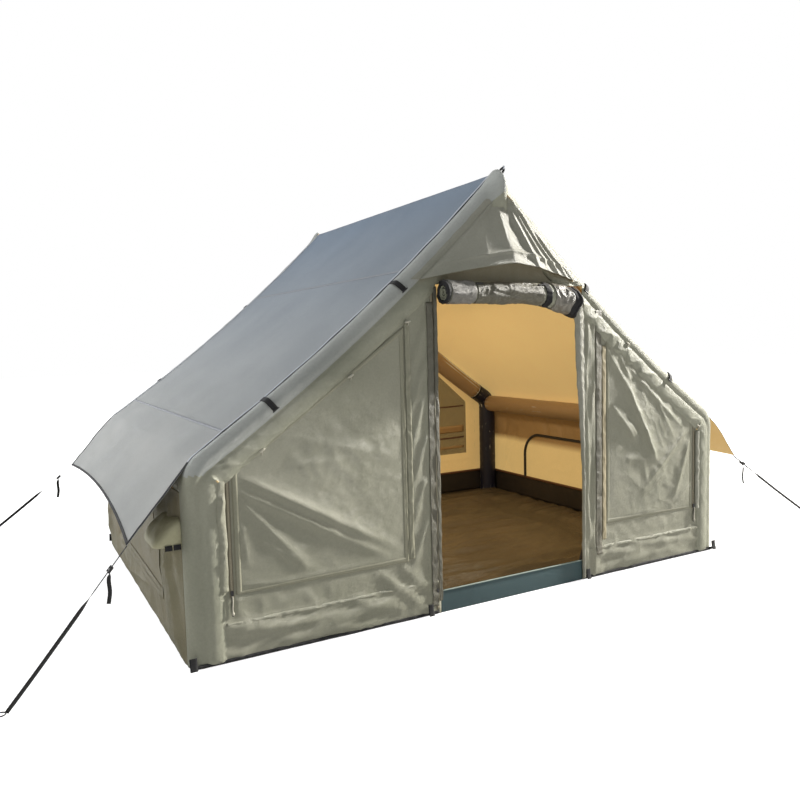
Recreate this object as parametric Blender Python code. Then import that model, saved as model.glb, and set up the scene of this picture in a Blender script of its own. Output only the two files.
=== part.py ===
"""House-shaped tent on an inflated frame, in metres.

+X runs to the right across the door gable, the door is at -Y and +Z is up.
The origin is on the ground, at the middle of the floor.
"""

import math

import bmesh
import bpy
from mathutils import Matrix, Vector

# Overall sizes of the tent body, over its outer faces: half its width, its depth and its heights
half_width = 1.5
tent_depth = 2.2
eave_height = 0.774
ridge_height = 2.011
rafter_sag = 0.045
eave_round = 0.17
rim_round = 0.06
rim_lip = 0.01

# Cloth thicknesses, with the coating and the seam allowance
wall_cloth = 0.004
roof_cloth = 0.003
fly_cloth = 0.002
floor_cloth = 0.003
net_cloth = 0.002
flap_cloth = 0.0025
sleeve_cloth = 0.0015
bladder_film = 0.001

# Clearances
seat_gap = 0.0003
bladder_gap = 0.0005
slide_gap = 0.001
overrun = 0.02
merge_distance = 0.00001

# Angles between faces above which an edge stays sharp
tube_edge_angle = math.radians(40)
rolled_edge_angle = math.radians(50)
creased_edge_angle = math.radians(60)

# Air tubes, over the sleeve
tube_radius = 0.0625
peak_bend = 0.09
elbow_sleeve_reach = 0.10
eave_beam_angle = math.radians(15)
vent_hole_radius = 0.008
tube_sides = 12
arc_steps = 4
rafter_steps = 3
peak_steps = 2
rim_steps = 3

# Tub floor
tub_height = 0.12
sill_height = 0.10

# Doorway, measured from its own centre
door_centre = 0.07
door_half_width = 0.43
door_height = 1.50

# Front and rear windows: the flap's outline, then how far the opening lies inside it
flap_outer_x = 1.31
door_strip = 0.165
flap_bottom = 0.27
flap_outer_top = 0.755
flap_inner_top = 1.315
window_margin = 0.045
net_margin = 0.015
flap_swell = 0.016
flap_columns = 15
flap_rows = 12
rear_flap_columns = 8
rear_flap_rows = 7

# Folds that fan across the flaps from their tie loops
flap_fold_height = 0.015
flap_fold_width = 0.045
flap_fold_widening_share = 0.048
flap_fold_start = 0.16
flap_edge_power = 0.6
flap_belly_fade_share = 0.4
left_fold_angles = (-62, -40, -20)
right_fold_angles = (-118, -138, -88)
left_knot_share = 0.12
right_knot_share = 0.50

# Half-round side windows
side_window_half = 0.60
side_window_sill = 0.17
side_window_height = 0.33
side_window_round = 0.16
side_window_arc_steps = 5
side_panel_margin = 0.015

# Creases of the side walls
side_wall_columns = 16
side_wall_rows = 6
wall_crease_rows = 4
wall_crease = 0.016
wall_crease_width = 0.07
wall_fold_lean = 0.25
wall_fold_shares = (-0.15, 0.25, 0.62)

# Fly sheet and its awnings
fly_gap = 0.001
fly_overhang = 0.04
awning_out = 0.205
awning_drop = 0.25
awning_hollow = 0.05
fly_steps = 8
awning_rows = 3

# Door hood
hood_cloth = 0.002
hood_corner_height = 1.52
hood_rise = 0.07
hood_reach = 0.13
hood_edge_inset = 0.02
hood_edge_lift = 0.0106
hood_columns = 12
hood_arch_power = 1.3
hood_side_power = 0.8
hood_down_power = 1.4
hood_fold_lean_share = 0.25
hood_rows = 7

# Creases of the hood, at shares of its half width
hood_crease = 0.014
hood_crease_width = 0.16
hood_fold_shares = (0.15, 0.55, -0.45)

# Rolled door: a sheet wound on itself and hung from the doorway's head, looser to the right
roll_radius = 0.048
roll_core = 0.008
roll_cloth = 0.0095
roll_turn_gap = 0.0035
roll_half_length = 0.38
roll_centre_x = 0.03
roll_drop = 0.04
roll_head_seat = 0.018
roll_lead_share = 0.45
roll_leave_angle = math.radians(120)
roll_flare = 0.02
roll_droop = 0.034
roll_wrinkle = 0.002
roll_waves = 3
roll_wave_lean = 9
roll_steps_per_turn = 12
roll_stations = 10

# Wide band that holds the roll, between these shares of its length and of its outer turn
band_cloth = 0.0015
band_length_shares = (0.2, 0.7)
band_turn_shares = (0.17, 0.83)
toggle_margin = 0.014
toggle_length = 0.036
toggle_radius = 0.004
toggle_neck_radius = 0.0028
toggle_neck = 0.0055

# Fly edge straps
strap_width = 0.025
strap_cloth = 0.0015
strap_lift = 0.004
strap_on_fly = 0.035
strap_down_front = 0.012
strap_bar_radius = 0.0025
strap_bar_length = 0.034
strap_bar_sides = 8
strap_rafter_shares = (0.19, 0.60)
strap_wrap_shares = (0.35, 0.75)

# Port hood on the left wall
port_radius = 0.105
port_bottom = 0.505
port_front_inset = 0.075
port_length = 0.26
port_steps = 6

# Zip sliders
zip_slot_offset = 0.018
slider_width = 0.011
slider_length = 0.018
slider_height = 0.007
pull_width = 0.006
pull_length = 0.085
pull_thickness = 0.0025
pull_seat_share = 0.7
door_slider_height = 0.10

# Guy webbing and its ladder locks
webbing_width = 0.015
webbing_cloth = 0.0016
webbing_twist_turns = 1.0
webbing_twist_share = 0.8
webbing_flat_length = 0.20
guy_steps = 19
lock_length = 0.026
lock_rail = 0.004
lock_bar = 0.005
lock_height = 0.003
lock_lip = 0.001
lock_place = 0.10
guy_corner_inset = 0.0085
guy_reaches = {"front_left": 0.428, "front_right": 0.823, "rear_left": 0.678, "rear_right": 0.678}
guy_reach_shares = (0.0, 0.26, 0.515, 0.768, 1.0)
guy_height_shares = (0.9979, 0.738, 0.483, 0.236)
guy_splays = (0.0, 0.002, 0.0085, 0.0185, 0.0285)

# Inflation valve on the rear left post
valve_height = 0.35
flange_radius = 0.028
flange_thickness = 0.004
neck_radius = 0.0165
neck_length = 0.024
bore_radius = 0.012
bore_depth = 0.018
throat_radius = 0.007
plunger_thickness = 0.003
plunger_depth = 0.010
plunger_gap = 0.0004
stem_radius = 0.004
stem_length = 0.004
cap_radius = 0.021
cap_wall = 0.003
cap_depth = 0.007
cap_hinge_out = 0.027
cap_hinge_lift = 0.0038
knuckle_radius = 0.003
knuckle_length = 0.012
valve_sides = 24

# Worked out from the sizes above
half_depth = tent_depth / 2
rafter_slope = math.atan2(ridge_height - eave_height, half_width)
eave_turn = math.pi / 2 - rafter_slope
post_height = eave_height - eave_round * math.tan(eave_turn / 2)
body_half_depth = half_depth - rim_round
end_seam = seat_gap + wall_cloth / 2
panel_half_depth = body_half_depth - end_seam
wall_top = post_height - seat_gap - roof_cloth * math.sin(eave_turn / arc_steps / 2)
lining = wall_cloth + floor_cloth + 2 * seat_gap
rim_step_angle = math.pi / 2 / rim_steps
rim_flat = rim_round * math.cos(rim_step_angle / 2) - lining - seat_gap
tube_corner = tube_radius / math.cos(math.pi / tube_sides)
corner_reach = math.cos(rim_step_angle / 2) + math.sin(rim_step_angle / 2)
corner_inset = rim_round + (tube_corner - rim_flat) / corner_reach
tube_inset = max(lining + seat_gap + tube_radius, corner_inset)
bladder_radius = tube_radius - sleeve_cloth - bladder_gap
arch_y = half_depth - tube_inset
beam_half_length = arch_y - tube_radius - seat_gap
front_face = -half_depth
fly_half_depth = body_half_depth + fly_overhang
awning_corner = Vector((half_width + awning_out, eave_height - awning_drop))
roll_turns = math.floor((roll_radius - roll_core) / (roll_cloth + roll_turn_gap))
roll_y = front_face - roll_radius - roll_cloth / 2 - roll_wrinkle - band_cloth - 3 * seat_gap


def clear_objects():
    """Take away whatever the file holds."""
    for old in list(bpy.data.objects):
        bpy.data.objects.remove(old, do_unlink=True)


def make_material(name, colour, roughness, metallic=0.0):
    material = bpy.data.materials.new(name)
    material.use_nodes = True
    shader = material.node_tree.nodes["Principled BSDF"]
    shader.inputs["Base Color"].default_value = (*colour, 1.0)
    shader.inputs["Roughness"].default_value = roughness
    shader.inputs["Metallic"].default_value = metallic
    return material


def add_piece(name, mesh_build, material, origin=(0, 0, 0), smooth_angle=None):
    """Make an object of a bmesh whose corners are in world places, with its origin where asked."""
    for corner in mesh_build.verts:
        corner.co = corner.co - Vector(origin)
    mesh = bpy.data.meshes.new(name)
    mesh_build.to_mesh(mesh)
    mesh_build.free()
    if smooth_angle is not None:
        mesh.shade_smooth()
        mesh.set_sharp_from_angle(angle=smooth_angle)
    piece = bpy.data.objects.new(name, mesh)
    piece.location = origin
    piece.data.materials.append(material)
    bpy.context.scene.collection.objects.link(piece)
    return piece


def thicken(piece, thickness, offset=-1.0):
    """Give an open sheet its cloth thickness, inward from its outer face."""
    wall = piece.modifiers.new("cloth", "SOLIDIFY")
    wall.thickness = thickness
    wall.offset = offset
    wall.use_even_offset = True
    wall.use_rim = True
    return wall


def cut(piece, cutter, operation="DIFFERENCE"):
    """Boolean with a hidden helper object."""
    cutter.hide_render = True
    cutter.display_type = "WIRE"
    step = piece.modifiers.new(operation.lower(), "BOOLEAN")
    step.operation = operation
    step.solver = "EXACT"
    step.object = cutter
    return step


def centred(share):
    """A share from 0 to 1 as a place from -1 to 1."""
    return 2 * share - 1


def bent_grid(columns, rows, place):
    """A grid of faces, each corner put where place(across share, along share) says."""
    sheet = bmesh.new()
    bmesh.ops.create_grid(sheet, x_segments=columns, y_segments=rows, size=0.5)
    for corner in sheet.verts:
        across = round((corner.co.x + 0.5) * columns) / columns
        along = round((corner.co.y + 0.5) * rows) / rows
        corner.co = place(across, along)
    return sheet


def prism(outline, direction):
    """A flat outline of world points, extruded along a direction into a closed solid."""
    solid = bmesh.new()
    face = solid.faces.new([solid.verts.new(point) for point in outline])
    grown = bmesh.ops.extrude_face_region(solid, geom=[face])
    top = [item for item in grown["geom"] if isinstance(item, bmesh.types.BMVert)]
    bmesh.ops.translate(solid, verts=top, vec=Vector(direction))
    bmesh.ops.recalc_face_normals(solid, faces=solid.faces)
    return solid


def add_cylinder(solid, centre, axis, radius, length, sides=valve_sides):
    """A closed cylinder into a bmesh, its base at centre and its body along axis."""
    turn = Vector((0, 0, 1)).rotation_difference(Vector(axis)).to_matrix().to_4x4()
    middle = Vector(centre) + Vector(axis) * length / 2
    bmesh.ops.create_cone(
        solid,
        cap_ends=True,
        segments=sides,
        radius1=radius,
        radius2=radius,
        depth=length,
        matrix=Matrix.Translation(middle) @ turn,
    )


def cylinder_piece(name, centre, axis, radius, length, material, sides=valve_sides):
    solid = bmesh.new()
    add_cylinder(solid, centre, axis, radius, length, sides)
    return add_piece(name, solid, material)


def box_piece(name, low, high, material):
    """A box between two corners."""
    solid = bmesh.new()
    bmesh.ops.create_cube(solid, size=1.0)
    low, high = Vector(low), Vector(high)
    for corner in solid.verts:
        corner.co = Vector(
            (
                low.x + (corner.co.x + 0.5) * (high.x - low.x),
                low.y + (corner.co.y + 0.5) * (high.y - low.y),
                low.z + (corner.co.z + 0.5) * (high.z - low.z),
            )
        )
    return add_piece(name, solid, material)


# The gable outline and lines beside it


def gable_line():
    """The body's outer face as (x, z), from the right foot over the ridge to the left foot."""
    ridge = Vector((0, ridge_height))
    centre = Vector((half_width - eave_round, post_height))
    right = [Vector((half_width, 0))]
    for step in range(arc_steps + 1):
        angle = eave_turn * step / arc_steps
        right.append(centre + eave_round * Vector((math.cos(angle), math.sin(angle))))
    start = right[-1]
    inward = Vector((-math.sin(rafter_slope), -math.cos(rafter_slope)))
    rafter_length = (ridge - start).length
    shares = [elbow_sleeve_reach / rafter_length]
    for step in range(1, rafter_steps):
        shares.append(step / rafter_steps)
    for share in shares:
        sag = 4 * rafter_sag * share * (1 - share)
        right.append(start.lerp(ridge, share) + sag * inward)
    left = [Vector((-point.x, point.y)) for point in reversed(right)]
    return right + [ridge] + left


def beside(line, inset, closed=False):
    """The same line moved to its left by the inset, with mitred corners."""
    moved = []
    last = len(line) - 1
    for index, point in enumerate(line):
        back = line[index - 1] if index > 0 or closed else None
        ahead = line[(index + 1) % len(line)] if index < last or closed else None
        before = (point - back).normalized() if back else (ahead - point).normalized()
        after = (ahead - point).normalized() if ahead else before
        side_before = Vector((-before.y, before.x))
        side_after = Vector((-after.y, after.x))
        moved.append(
            point + (side_before + side_after) * inset / (1 + side_before.dot(side_after))
        )
    return moved


def rounded(line, index, radius, steps):
    """The line with one corner replaced by an arc."""
    corner = line[index]
    to_back = (line[index - 1] - corner).normalized()
    to_ahead = (line[index + 1] - corner).normalized()
    half_angle = to_back.angle(to_ahead) / 2
    tangent = radius / math.tan(half_angle)
    centre = corner + (to_back + to_ahead).normalized() * radius / math.sin(half_angle)
    first = corner + to_back * tangent - centre
    last = corner + to_ahead * tangent - centre
    arc = [
        centre + first.lerp(last, step / steps).normalized() * radius for step in range(steps + 1)
    ]
    return line[:index] + arc + line[index + 1 :]


def height_on(line, x):
    """The height of a gable line at a distance from the ridge."""
    for first, second in zip(line, line[1:]):
        low, high = sorted((first.x, second.x))
        if low <= x <= high and high - low > merge_distance:
            return first.y + (second.y - first.y) * (x - first.x) / (second.x - first.x)
    return 0.0


def half_width_at(line, z):
    """How far from the ridge a gable line is at a height."""
    for first, second in zip(line, line[1:]):
        if second.x < 0:
            break
        low, high = sorted((first.y, second.y))
        if low <= z <= high and high - low > merge_distance:
            return first.x + (second.x - first.x) * (z - first.y) / (second.y - first.y)
    return 0.0


GABLE = gable_line()
RIDGE_INDEX = len(GABLE) // 2
ARC_START = 1
SPLIT_INDEX = 2 + arc_steps


# Air frame


def arch_path():
    """The centreline of an arch, as (x, z)."""
    line = beside(GABLE, tube_inset)
    floor_top = floor_cloth + seat_gap
    line[0] = Vector((line[0].x, floor_top))
    line[-1] = Vector((line[-1].x, floor_top))
    return line


def tube_lines(path, radius):
    """The lines that run along a tube's corners, flats facing into the gable and along Y."""
    corner_radius = radius / math.cos(math.pi / tube_sides)
    lines = []
    for side in range(tube_sides):
        angle = 2 * math.pi * (side + 0.5) / tube_sides
        lines.append((beside(path, corner_radius * math.cos(angle)), corner_radius * math.sin(angle)))
    return lines


def arch_tube(path, y, radius, first=0, last=None):
    """An open tube at one depth, along the path or a stretch of it, cut at the mitres."""
    last = len(path) - 1 if last is None else last
    lines = []
    for line, out in tube_lines(path, radius):
        stretch = [point.copy() for point in line[first : last + 1]]
        if first > 0:
            stretch[0] += (line[first + 1] - line[first]).normalized() * seat_gap / 2
        if last < len(path) - 1:
            stretch[-1] += (line[last - 1] - line[last]).normalized() * seat_gap / 2
        lines.append((stretch, out))

    def place(around, along):
        line, out = lines[round(around * tube_sides) % tube_sides]
        point = line[round(along * (last - first))]
        return Vector((point.x, y + out, point.y))

    tube = bent_grid(tube_sides, last - first, place)
    bmesh.ops.remove_doubles(tube, verts=tube.verts, dist=merge_distance)
    bmesh.ops.recalc_face_normals(tube, faces=tube.faces)
    return tube


def beam_tube(centre, radius, half_length):
    """An open straight tube along Y, flats facing sideways."""
    corner_radius = radius / math.cos(math.pi / tube_sides)

    def place(around, along):
        angle = 2 * math.pi * (around * tube_sides + 0.5) / tube_sides
        return Vector(
            (
                centre.x + corner_radius * math.cos(angle),
                half_length * centred(along),
                centre.y + corner_radius * math.sin(angle),
            )
        )

    tube = bent_grid(tube_sides, 1, place)
    bmesh.ops.remove_doubles(tube, verts=tube.verts, dist=merge_distance)
    bmesh.ops.recalc_face_normals(tube, faces=tube.faces)
    return tube


def outward(tube, centre_of):
    """Turn an open tube's faces outward from its own centreline."""
    face = tube.faces[:][0]
    middle = face.calc_center_median()
    if face.normal.dot(middle - centre_of(middle)) < 0:
        bmesh.ops.reverse_faces(tube, faces=tube.faces)


def add_sleeve(name, tube, centre_of, material):
    tube.normal_update()
    tube.faces.ensure_lookup_table()
    outward(tube, centre_of)
    piece = add_piece(name, tube, material, smooth_angle=tube_edge_angle)
    thicken(piece, sleeve_cloth)
    return piece


def add_bladder(name, tube, hole_centre, hole_axis, hole_radius, hole_length, material):
    """A closed film tube, with the hole that its air comes in by."""
    bmesh.ops.holes_fill(tube, edges=tube.edges)
    bmesh.ops.recalc_face_normals(tube, faces=tube.faces)
    piece = add_piece(name, tube, material, smooth_angle=tube_edge_angle)
    thicken(piece, bladder_film)
    hole = cylinder_piece(
        f"{name}_hole", hole_centre, hole_axis, hole_radius, hole_length, material, tube_sides
    )
    cut(piece, hole)
    return piece


def build_frame(materials):
    path = rounded(arch_path(), RIDGE_INDEX, peak_bend, peak_steps)
    last = len(path) - 1
    top = path[last // 2]
    elbow_radius = eave_round - tube_inset
    eave_centre = Vector(
        (
            half_width - eave_round + elbow_radius * math.cos(eave_beam_angle),
            post_height + elbow_radius * math.sin(eave_beam_angle),
        )
    )
    for end, side in (("front", -1), ("rear", 1)):
        y = side * arch_y

        def centre_of(middle, y=y):
            nearest = min(path, key=lambda point: (Vector((middle.x, middle.z)) - point).length)
            return Vector((nearest.x, y, nearest.y))

        bladder_path = [point.copy() for point in path]
        bladder_path[0].y += bladder_gap
        bladder_path[-1].y += bladder_gap
        tube = arch_tube(bladder_path, y, bladder_radius)
        if end == "rear":
            hole = (path[last].x, y, valve_height)
            add_bladder(
                "rear_arch_bladder",
                tube,
                hole,
                (1, 0, 0),
                neck_radius + slide_gap,
                tube_radius + overrun,
                materials["film"],
            )
        else:
            hole = (eave_centre.x, y, eave_centre.y)
            add_bladder(
                "front_arch_bladder",
                tube,
                hole,
                (0, 1, 0),
                vent_hole_radius,
                tube_radius + overrun,
                materials["film"],
            )
        add_sleeve(
            f"{end}_rafter_sleeve",
            arch_tube(path, y, tube_radius, SPLIT_INDEX, last - SPLIT_INDEX),
            centre_of,
            materials["tan_sleeve"],
        )
        for hand in ("right", "left"):
            stretch = (0, SPLIT_INDEX) if hand == "right" else (last - SPLIT_INDEX, last)
            tube = arch_tube(path, y, tube_radius, *stretch)
            sleeve = add_sleeve(f"{end}_post_sleeve_{hand}", tube, centre_of, materials["navy_sleeve"])
            if end == "rear" and hand == "left":
                mouth = cylinder_piece(
                    "valve_mouth_in_sleeve",
                    (path[last].x, y, valve_height),
                    (1, 0, 0),
                    neck_radius + slide_gap,
                    tube_radius + overrun,
                    materials["film"],
                )
                cut(sleeve, mouth)

    beams = (
        ("right_eave", eave_centre),
        ("left_eave", Vector((-eave_centre.x, eave_centre.y))),
        ("ridge", top),
    )
    for name, centre in beams:

        def beam_centre(middle, centre=centre):
            return Vector((centre.x, middle.y, centre.y))

        add_sleeve(
            f"{name}_beam_sleeve",
            beam_tube(centre, tube_radius, beam_half_length),
            beam_centre,
            materials["tan_sleeve"],
        )
        add_bladder(
            f"{name}_bladder",
            beam_tube(centre, bladder_radius, beam_half_length - bladder_gap),
            (centre.x, -beam_half_length - overrun, centre.y),
            (0, 1, 0),
            vent_hole_radius,
            2 * overrun,
            materials["film"],
        )


# Inflation valve


def build_valve(materials):
    path = arch_path()
    face_x = path[-1].x + tube_radius + seat_gap
    axis = Vector((1, 0, 0))
    seat = Vector((face_x, arch_y, valve_height))
    outer_face = seat + axis * flange_thickness

    base = cylinder_piece("valve_base", seat, axis, flange_radius, flange_thickness, materials["valve"])
    neck = cylinder_piece(
        "valve_neck",
        seat - axis * neck_length,
        axis,
        neck_radius,
        neck_length + flange_thickness / 2,
        materials["valve"],
    )
    cut(base, neck, "UNION")
    bore = cylinder_piece(
        "valve_bore",
        outer_face - axis * bore_depth,
        axis,
        bore_radius,
        bore_depth + overrun,
        materials["valve"],
    )
    cut(base, bore)
    throat = cylinder_piece(
        "valve_throat",
        seat - axis * (neck_length + overrun),
        axis,
        throat_radius,
        neck_length + overrun + flange_thickness,
        materials["valve"],
    )
    cut(base, throat)

    plunger_face = outer_face - axis * plunger_depth
    plunger = cylinder_piece(
        "valve_plunger",
        plunger_face - axis * plunger_thickness,
        axis,
        bore_radius - plunger_gap,
        plunger_thickness,
        materials["black_plastic"],
    )
    stem = cylinder_piece(
        "valve_plunger_stem",
        plunger_face - axis * plunger_thickness / 2,
        axis,
        stem_radius,
        stem_length + plunger_thickness / 2,
        materials["black_plastic"],
        tube_sides,
    )
    cut(plunger, stem, "UNION")

    hinge = outer_face + Vector((cap_hinge_lift, -cap_hinge_out, 0))
    cap = bmesh.new()
    add_cylinder(cap, outer_face + axis * seat_gap - hinge, axis, cap_radius, cap_depth)
    cap_piece = add_piece("valve_cap", cap, materials["black_plastic"])
    cap_piece.location = hinge
    hollow = cylinder_piece(
        "valve_cap_hollow",
        outer_face - axis * overrun,
        axis,
        cap_radius - cap_wall,
        overrun + cap_depth - cap_wall,
        materials["black_plastic"],
    )
    cut(cap_piece, hollow)
    knuckle = cylinder_piece(
        "valve_cap_knuckle",
        hinge - Vector((0, 0, knuckle_length / 2)),
        (0, 0, 1),
        knuckle_radius,
        knuckle_length,
        materials["black_plastic"],
        tube_sides,
    )
    cut(cap_piece, knuckle, "UNION")
    lug = box_piece(
        "valve_cap_lug",
        hinge + Vector((-knuckle_radius / 2, 0, -knuckle_length / 2)),
        hinge + Vector((knuckle_radius, cap_hinge_out - cap_radius + cap_wall / 2, knuckle_length / 2)),
        materials["black_plastic"],
    )
    cut(cap_piece, lug, "UNION")


# Tub floor


def plan_ring():
    """The body's outer face at the ground as (x, y), anticlockwise from the rear right corner."""
    ring = []
    for quarter, (sign_x, sign_y) in enumerate(((1, 1), (-1, 1), (-1, -1), (1, -1))):
        centre = Vector((sign_x * (half_width - rim_round), sign_y * body_half_depth))
        for step in range(rim_steps + 1):
            angle = math.pi / 2 * quarter + rim_step_angle * step
            ring.append(centre + rim_round * Vector((math.cos(angle), math.sin(angle))))
    return ring


def build_floor(material):
    """A tray of cloth inside the walls, lower at the doorway."""
    ring = beside(plan_ring(), wall_cloth + seat_gap, closed=True)
    tub = prism([Vector((point.x, point.y, 0)) for point in ring], (0, 0, tub_height))
    lid = max(tub.faces, key=lambda face: face.calc_center_median().z)
    bmesh.ops.delete(tub, geom=[lid], context="FACES_ONLY")
    floor = add_piece("tub_floor", tub, material)
    thicken(floor, floor_cloth)
    front = front_face + wall_cloth + seat_gap
    sill_notch = box_piece(
        "sill_notch",
        (door_centre - door_half_width, front - overrun, sill_height),
        (door_centre + door_half_width, front + overrun, tub_height + overrun),
        material,
    )
    cut(floor, sill_notch)


# Walls


def flap_outline(hand, inset=0.0):
    """The corners of a front or rear window, as (x, z): outer foot, inner foot, inner top, outer top."""
    sign = 1 if hand == "right" else -1
    inner_x = sign * door_centre + door_half_width + door_strip
    slope = (flap_inner_top - flap_outer_top) / (flap_outer_x - inner_x)
    top_inset = inset * math.sqrt(1 + slope * slope)
    outer, inner = flap_outer_x - inset, inner_x + inset
    outer_top = flap_outer_top + slope * inset - top_inset
    inner_top = flap_inner_top - slope * inset - top_inset
    bottom = flap_bottom + inset
    return [
        Vector((sign * outer, bottom)),
        Vector((sign * inner, bottom)),
        Vector((sign * inner, inner_top)),
        Vector((sign * outer, outer_top)),
    ]


def end_wall(name, side, whole, material):
    """A gable wall rolled back round the arch: all of it, or its rolled rim with a flat lip."""
    lines = []
    for step in range(rim_steps + 1):
        angle = rim_step_angle * step
        lines.append(
            (
                beside(GABLE, rim_round * (1 - math.cos(angle))),
                side * (body_half_depth + rim_round * math.sin(angle)),
            )
        )
    if not whole:
        lines.append((beside(GABLE, rim_round + rim_lip), side * half_depth))

    def place(along, across):
        line, y = lines[round(across * (len(lines) - 1))]
        point = line[round(along * (len(GABLE) - 1))]
        return Vector((point.x, y, point.y))

    sheet = bent_grid(len(GABLE) - 1, len(lines) - 1, place)
    if whole:
        flat_y = lines[-1][1]
        flat_edges = []
        for edge in sheet.edges:
            if all(abs(vert.co.y - flat_y) < merge_distance for vert in edge.verts):
                flat_edges.append(edge)
        bmesh.ops.contextual_create(sheet, geom=flat_edges)
        bmesh.ops.recalc_face_normals(sheet, faces=sheet.faces)
    sheet.normal_update()
    flat = max(sheet.faces, key=lambda face: side * face.calc_center_median().y)
    if flat.normal.y * side < 0:
        bmesh.ops.reverse_faces(sheet, faces=sheet.faces)
    wall = add_piece(name, sheet, material, smooth_angle=rolled_edge_angle)
    thicken(wall, wall_cloth)
    return wall


def lip_line():
    """The outer edge of the flat wall inside the rim's lip."""
    return beside(GABLE, rim_round + rim_lip + seat_gap)


def wall_outline(first_x, last_x, foot):
    """A part of a flat gable wall as (x, z), inside the rim's lip, from one x to a larger one."""
    line = lip_line()
    first_x = max(first_x, line[-1].x)
    last_x = min(last_x, line[0].x)
    outline = [Vector((first_x, foot)), Vector((last_x, foot))]
    for x in (last_x, first_x):
        height = height_on(line, x)
        if x == last_x and height > foot + merge_distance:
            outline.append(Vector((x, height)))
        if x == last_x:
            outline += [p for p in line if first_x + merge_distance < p.x < x - merge_distance]
        elif height > foot + merge_distance:
            outline.append(Vector((x, height)))
    return outline


def wall_cutter(name, outline, side, material):
    """A prism through a gable wall, from an (x, z) outline."""
    start = side * (half_depth - overrun)
    return add_piece(
        name,
        prism([Vector((p.x, start, p.y)) for p in outline], (0, side * 2 * overrun, 0)),
        material,
    )


def add_wall_panel(name, first_x, last_x, foot, material):
    """A flat panel of the front gable wall."""
    outline = [Vector((p.x, -half_depth, p.y)) for p in wall_outline(first_x, last_x, foot)]
    return add_piece(name, prism(outline, (0, wall_cloth, 0)), material)


def cut_window(wall, end, hand, side, material):
    outline = flap_outline(hand, window_margin)
    cut(wall, wall_cutter(f"{end}_window_cutter_{hand}", outline, side, material))


def build_front_wall(materials):
    khaki = materials["khaki"]
    left, right = door_centre - door_half_width, door_centre + door_half_width
    rim = end_wall("front_rim", -1, False, khaki)
    doorway = [
        Vector((left, -overrun)),
        Vector((right, -overrun)),
        Vector((right, door_height)),
        Vector((left, door_height)),
    ]
    cut(rim, wall_cutter("doorway_cutter", doorway, -1, khaki))
    head_end = half_width_at(lip_line(), door_height)
    add_wall_panel("front_wall_head", left + seat_gap, head_end, door_height, khaki)
    for hand, ends in (("left", (-half_width, left)), ("right", (right, half_width))):
        cut_window(add_wall_panel(f"front_wall_{hand}", *ends, 0, khaki), "front", hand, -1, khaki)
        outline = flap_outline(hand, window_margin - net_margin)
        net_y = seat_gap + wall_cloth - half_depth
        net = prism([Vector((p.x, net_y, p.y)) for p in outline], (0, net_cloth, 0))
        add_piece(f"front_window_net_{hand}", net, materials["net"])


def build_rear_wall(material):
    wall = end_wall("rear_wall", 1, True, material)
    for hand in ("left", "right"):
        cut_window(wall, "rear", hand, 1, material)


def side_window_line(margin):
    """The half-round side opening as (y, z), from its front foot over the top to its rear foot."""
    half = side_window_half + margin
    top = side_window_sill + side_window_height + margin
    foot = side_window_sill - margin
    radius = side_window_round + margin
    line = [Vector((-half, foot))]
    for centre_y, start in ((-half + radius, math.pi), (half - radius, math.pi / 2)):
        for step in range(side_window_arc_steps + 1):
            angle = start - math.pi / 2 * step / side_window_arc_steps
            line.append(
                Vector((centre_y + radius * math.cos(angle), top - radius + radius * math.sin(angle)))
            )
    line.append(Vector((half, foot)))
    return line


def fold(distance, height, width):
    """A soft ridge across a cloth: its height at a distance from the ridge's line."""
    return height * math.exp(-((distance / width) ** 2))


def side_fold(y, z, edge_fade):
    """How far a side wall's creases stand out, below the level of the port hood."""
    top = wall_top * wall_crease_rows / side_wall_rows
    line_y = -body_half_depth + port_length * z / top
    swell = fold(y - line_y, wall_crease, wall_crease_width)
    for place_share in wall_fold_shares:
        line = body_half_depth * place_share + wall_fold_lean * (z - top / 2)
        swell += fold(y - line, wall_crease / 2, wall_crease_width)
    return swell * math.sin(math.pi * min(z / top, 1.0)) * edge_fade


def build_side_walls(materials):
    for hand, sign in (("left", -1), ("right", 1)):

        def place(across, along, sign=sign):
            y, z = panel_half_depth * centred(across), wall_top * along
            edge_fade = math.sqrt(math.sin(math.pi * across))
            return Vector((sign * (half_width + side_fold(y, z, edge_fade)), y, z))

        sheet = bent_grid(side_wall_columns, side_wall_rows, place)
        sheet.normal_update()
        if sheet.faces[:][0].normal.x * sign < 0:
            bmesh.ops.reverse_faces(sheet, faces=sheet.faces)
        wall = add_piece(f"{hand}_wall", sheet, materials["khaki"], smooth_angle=creased_edge_angle)
        thicken(wall, wall_cloth)
        start = sign * (half_width - overrun)
        cutter = add_piece(
            f"{hand}_window_cutter",
            prism([Vector((start, p.x, p.y)) for p in side_window_line(0.0)], (sign * 3 * overrun, 0, 0)),
            materials["khaki"],
        )
        cut(wall, cutter)

        hinge = Vector(
            (
                sign * (half_width - wall_cloth - seat_gap - flap_cloth / 2),
                0,
                side_window_sill - side_panel_margin,
            )
        )
        face_x = sign * (half_width - wall_cloth - seat_gap)
        add_piece(
            f"{hand}_window_panel",
            prism(
                [Vector((face_x, p.x, p.y)) for p in side_window_line(side_panel_margin)],
                (-sign * flap_cloth, 0, 0),
            ),
            materials["khaki"],
            origin=hinge,
        )


def build_canopy(material):
    """The roof cloth, from eave to eave between the two end walls."""
    line = GABLE[ARC_START:-1]

    def place(across, along):
        point = line[round(along * (len(line) - 1))]
        return Vector((point.x, panel_half_depth * centred(across), point.y))

    sheet = bent_grid(1, len(line) - 1, place)
    sheet.normal_update()
    top = max(sheet.faces, key=lambda face: face.calc_center_median().z)
    if top.normal.z < 0:
        bmesh.ops.reverse_faces(sheet, faces=sheet.faces)
    canopy = add_piece("roof_canopy", sheet, material, smooth_angle=tube_edge_angle)
    thicken(canopy, roof_cloth)


# Fly sheet


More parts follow.
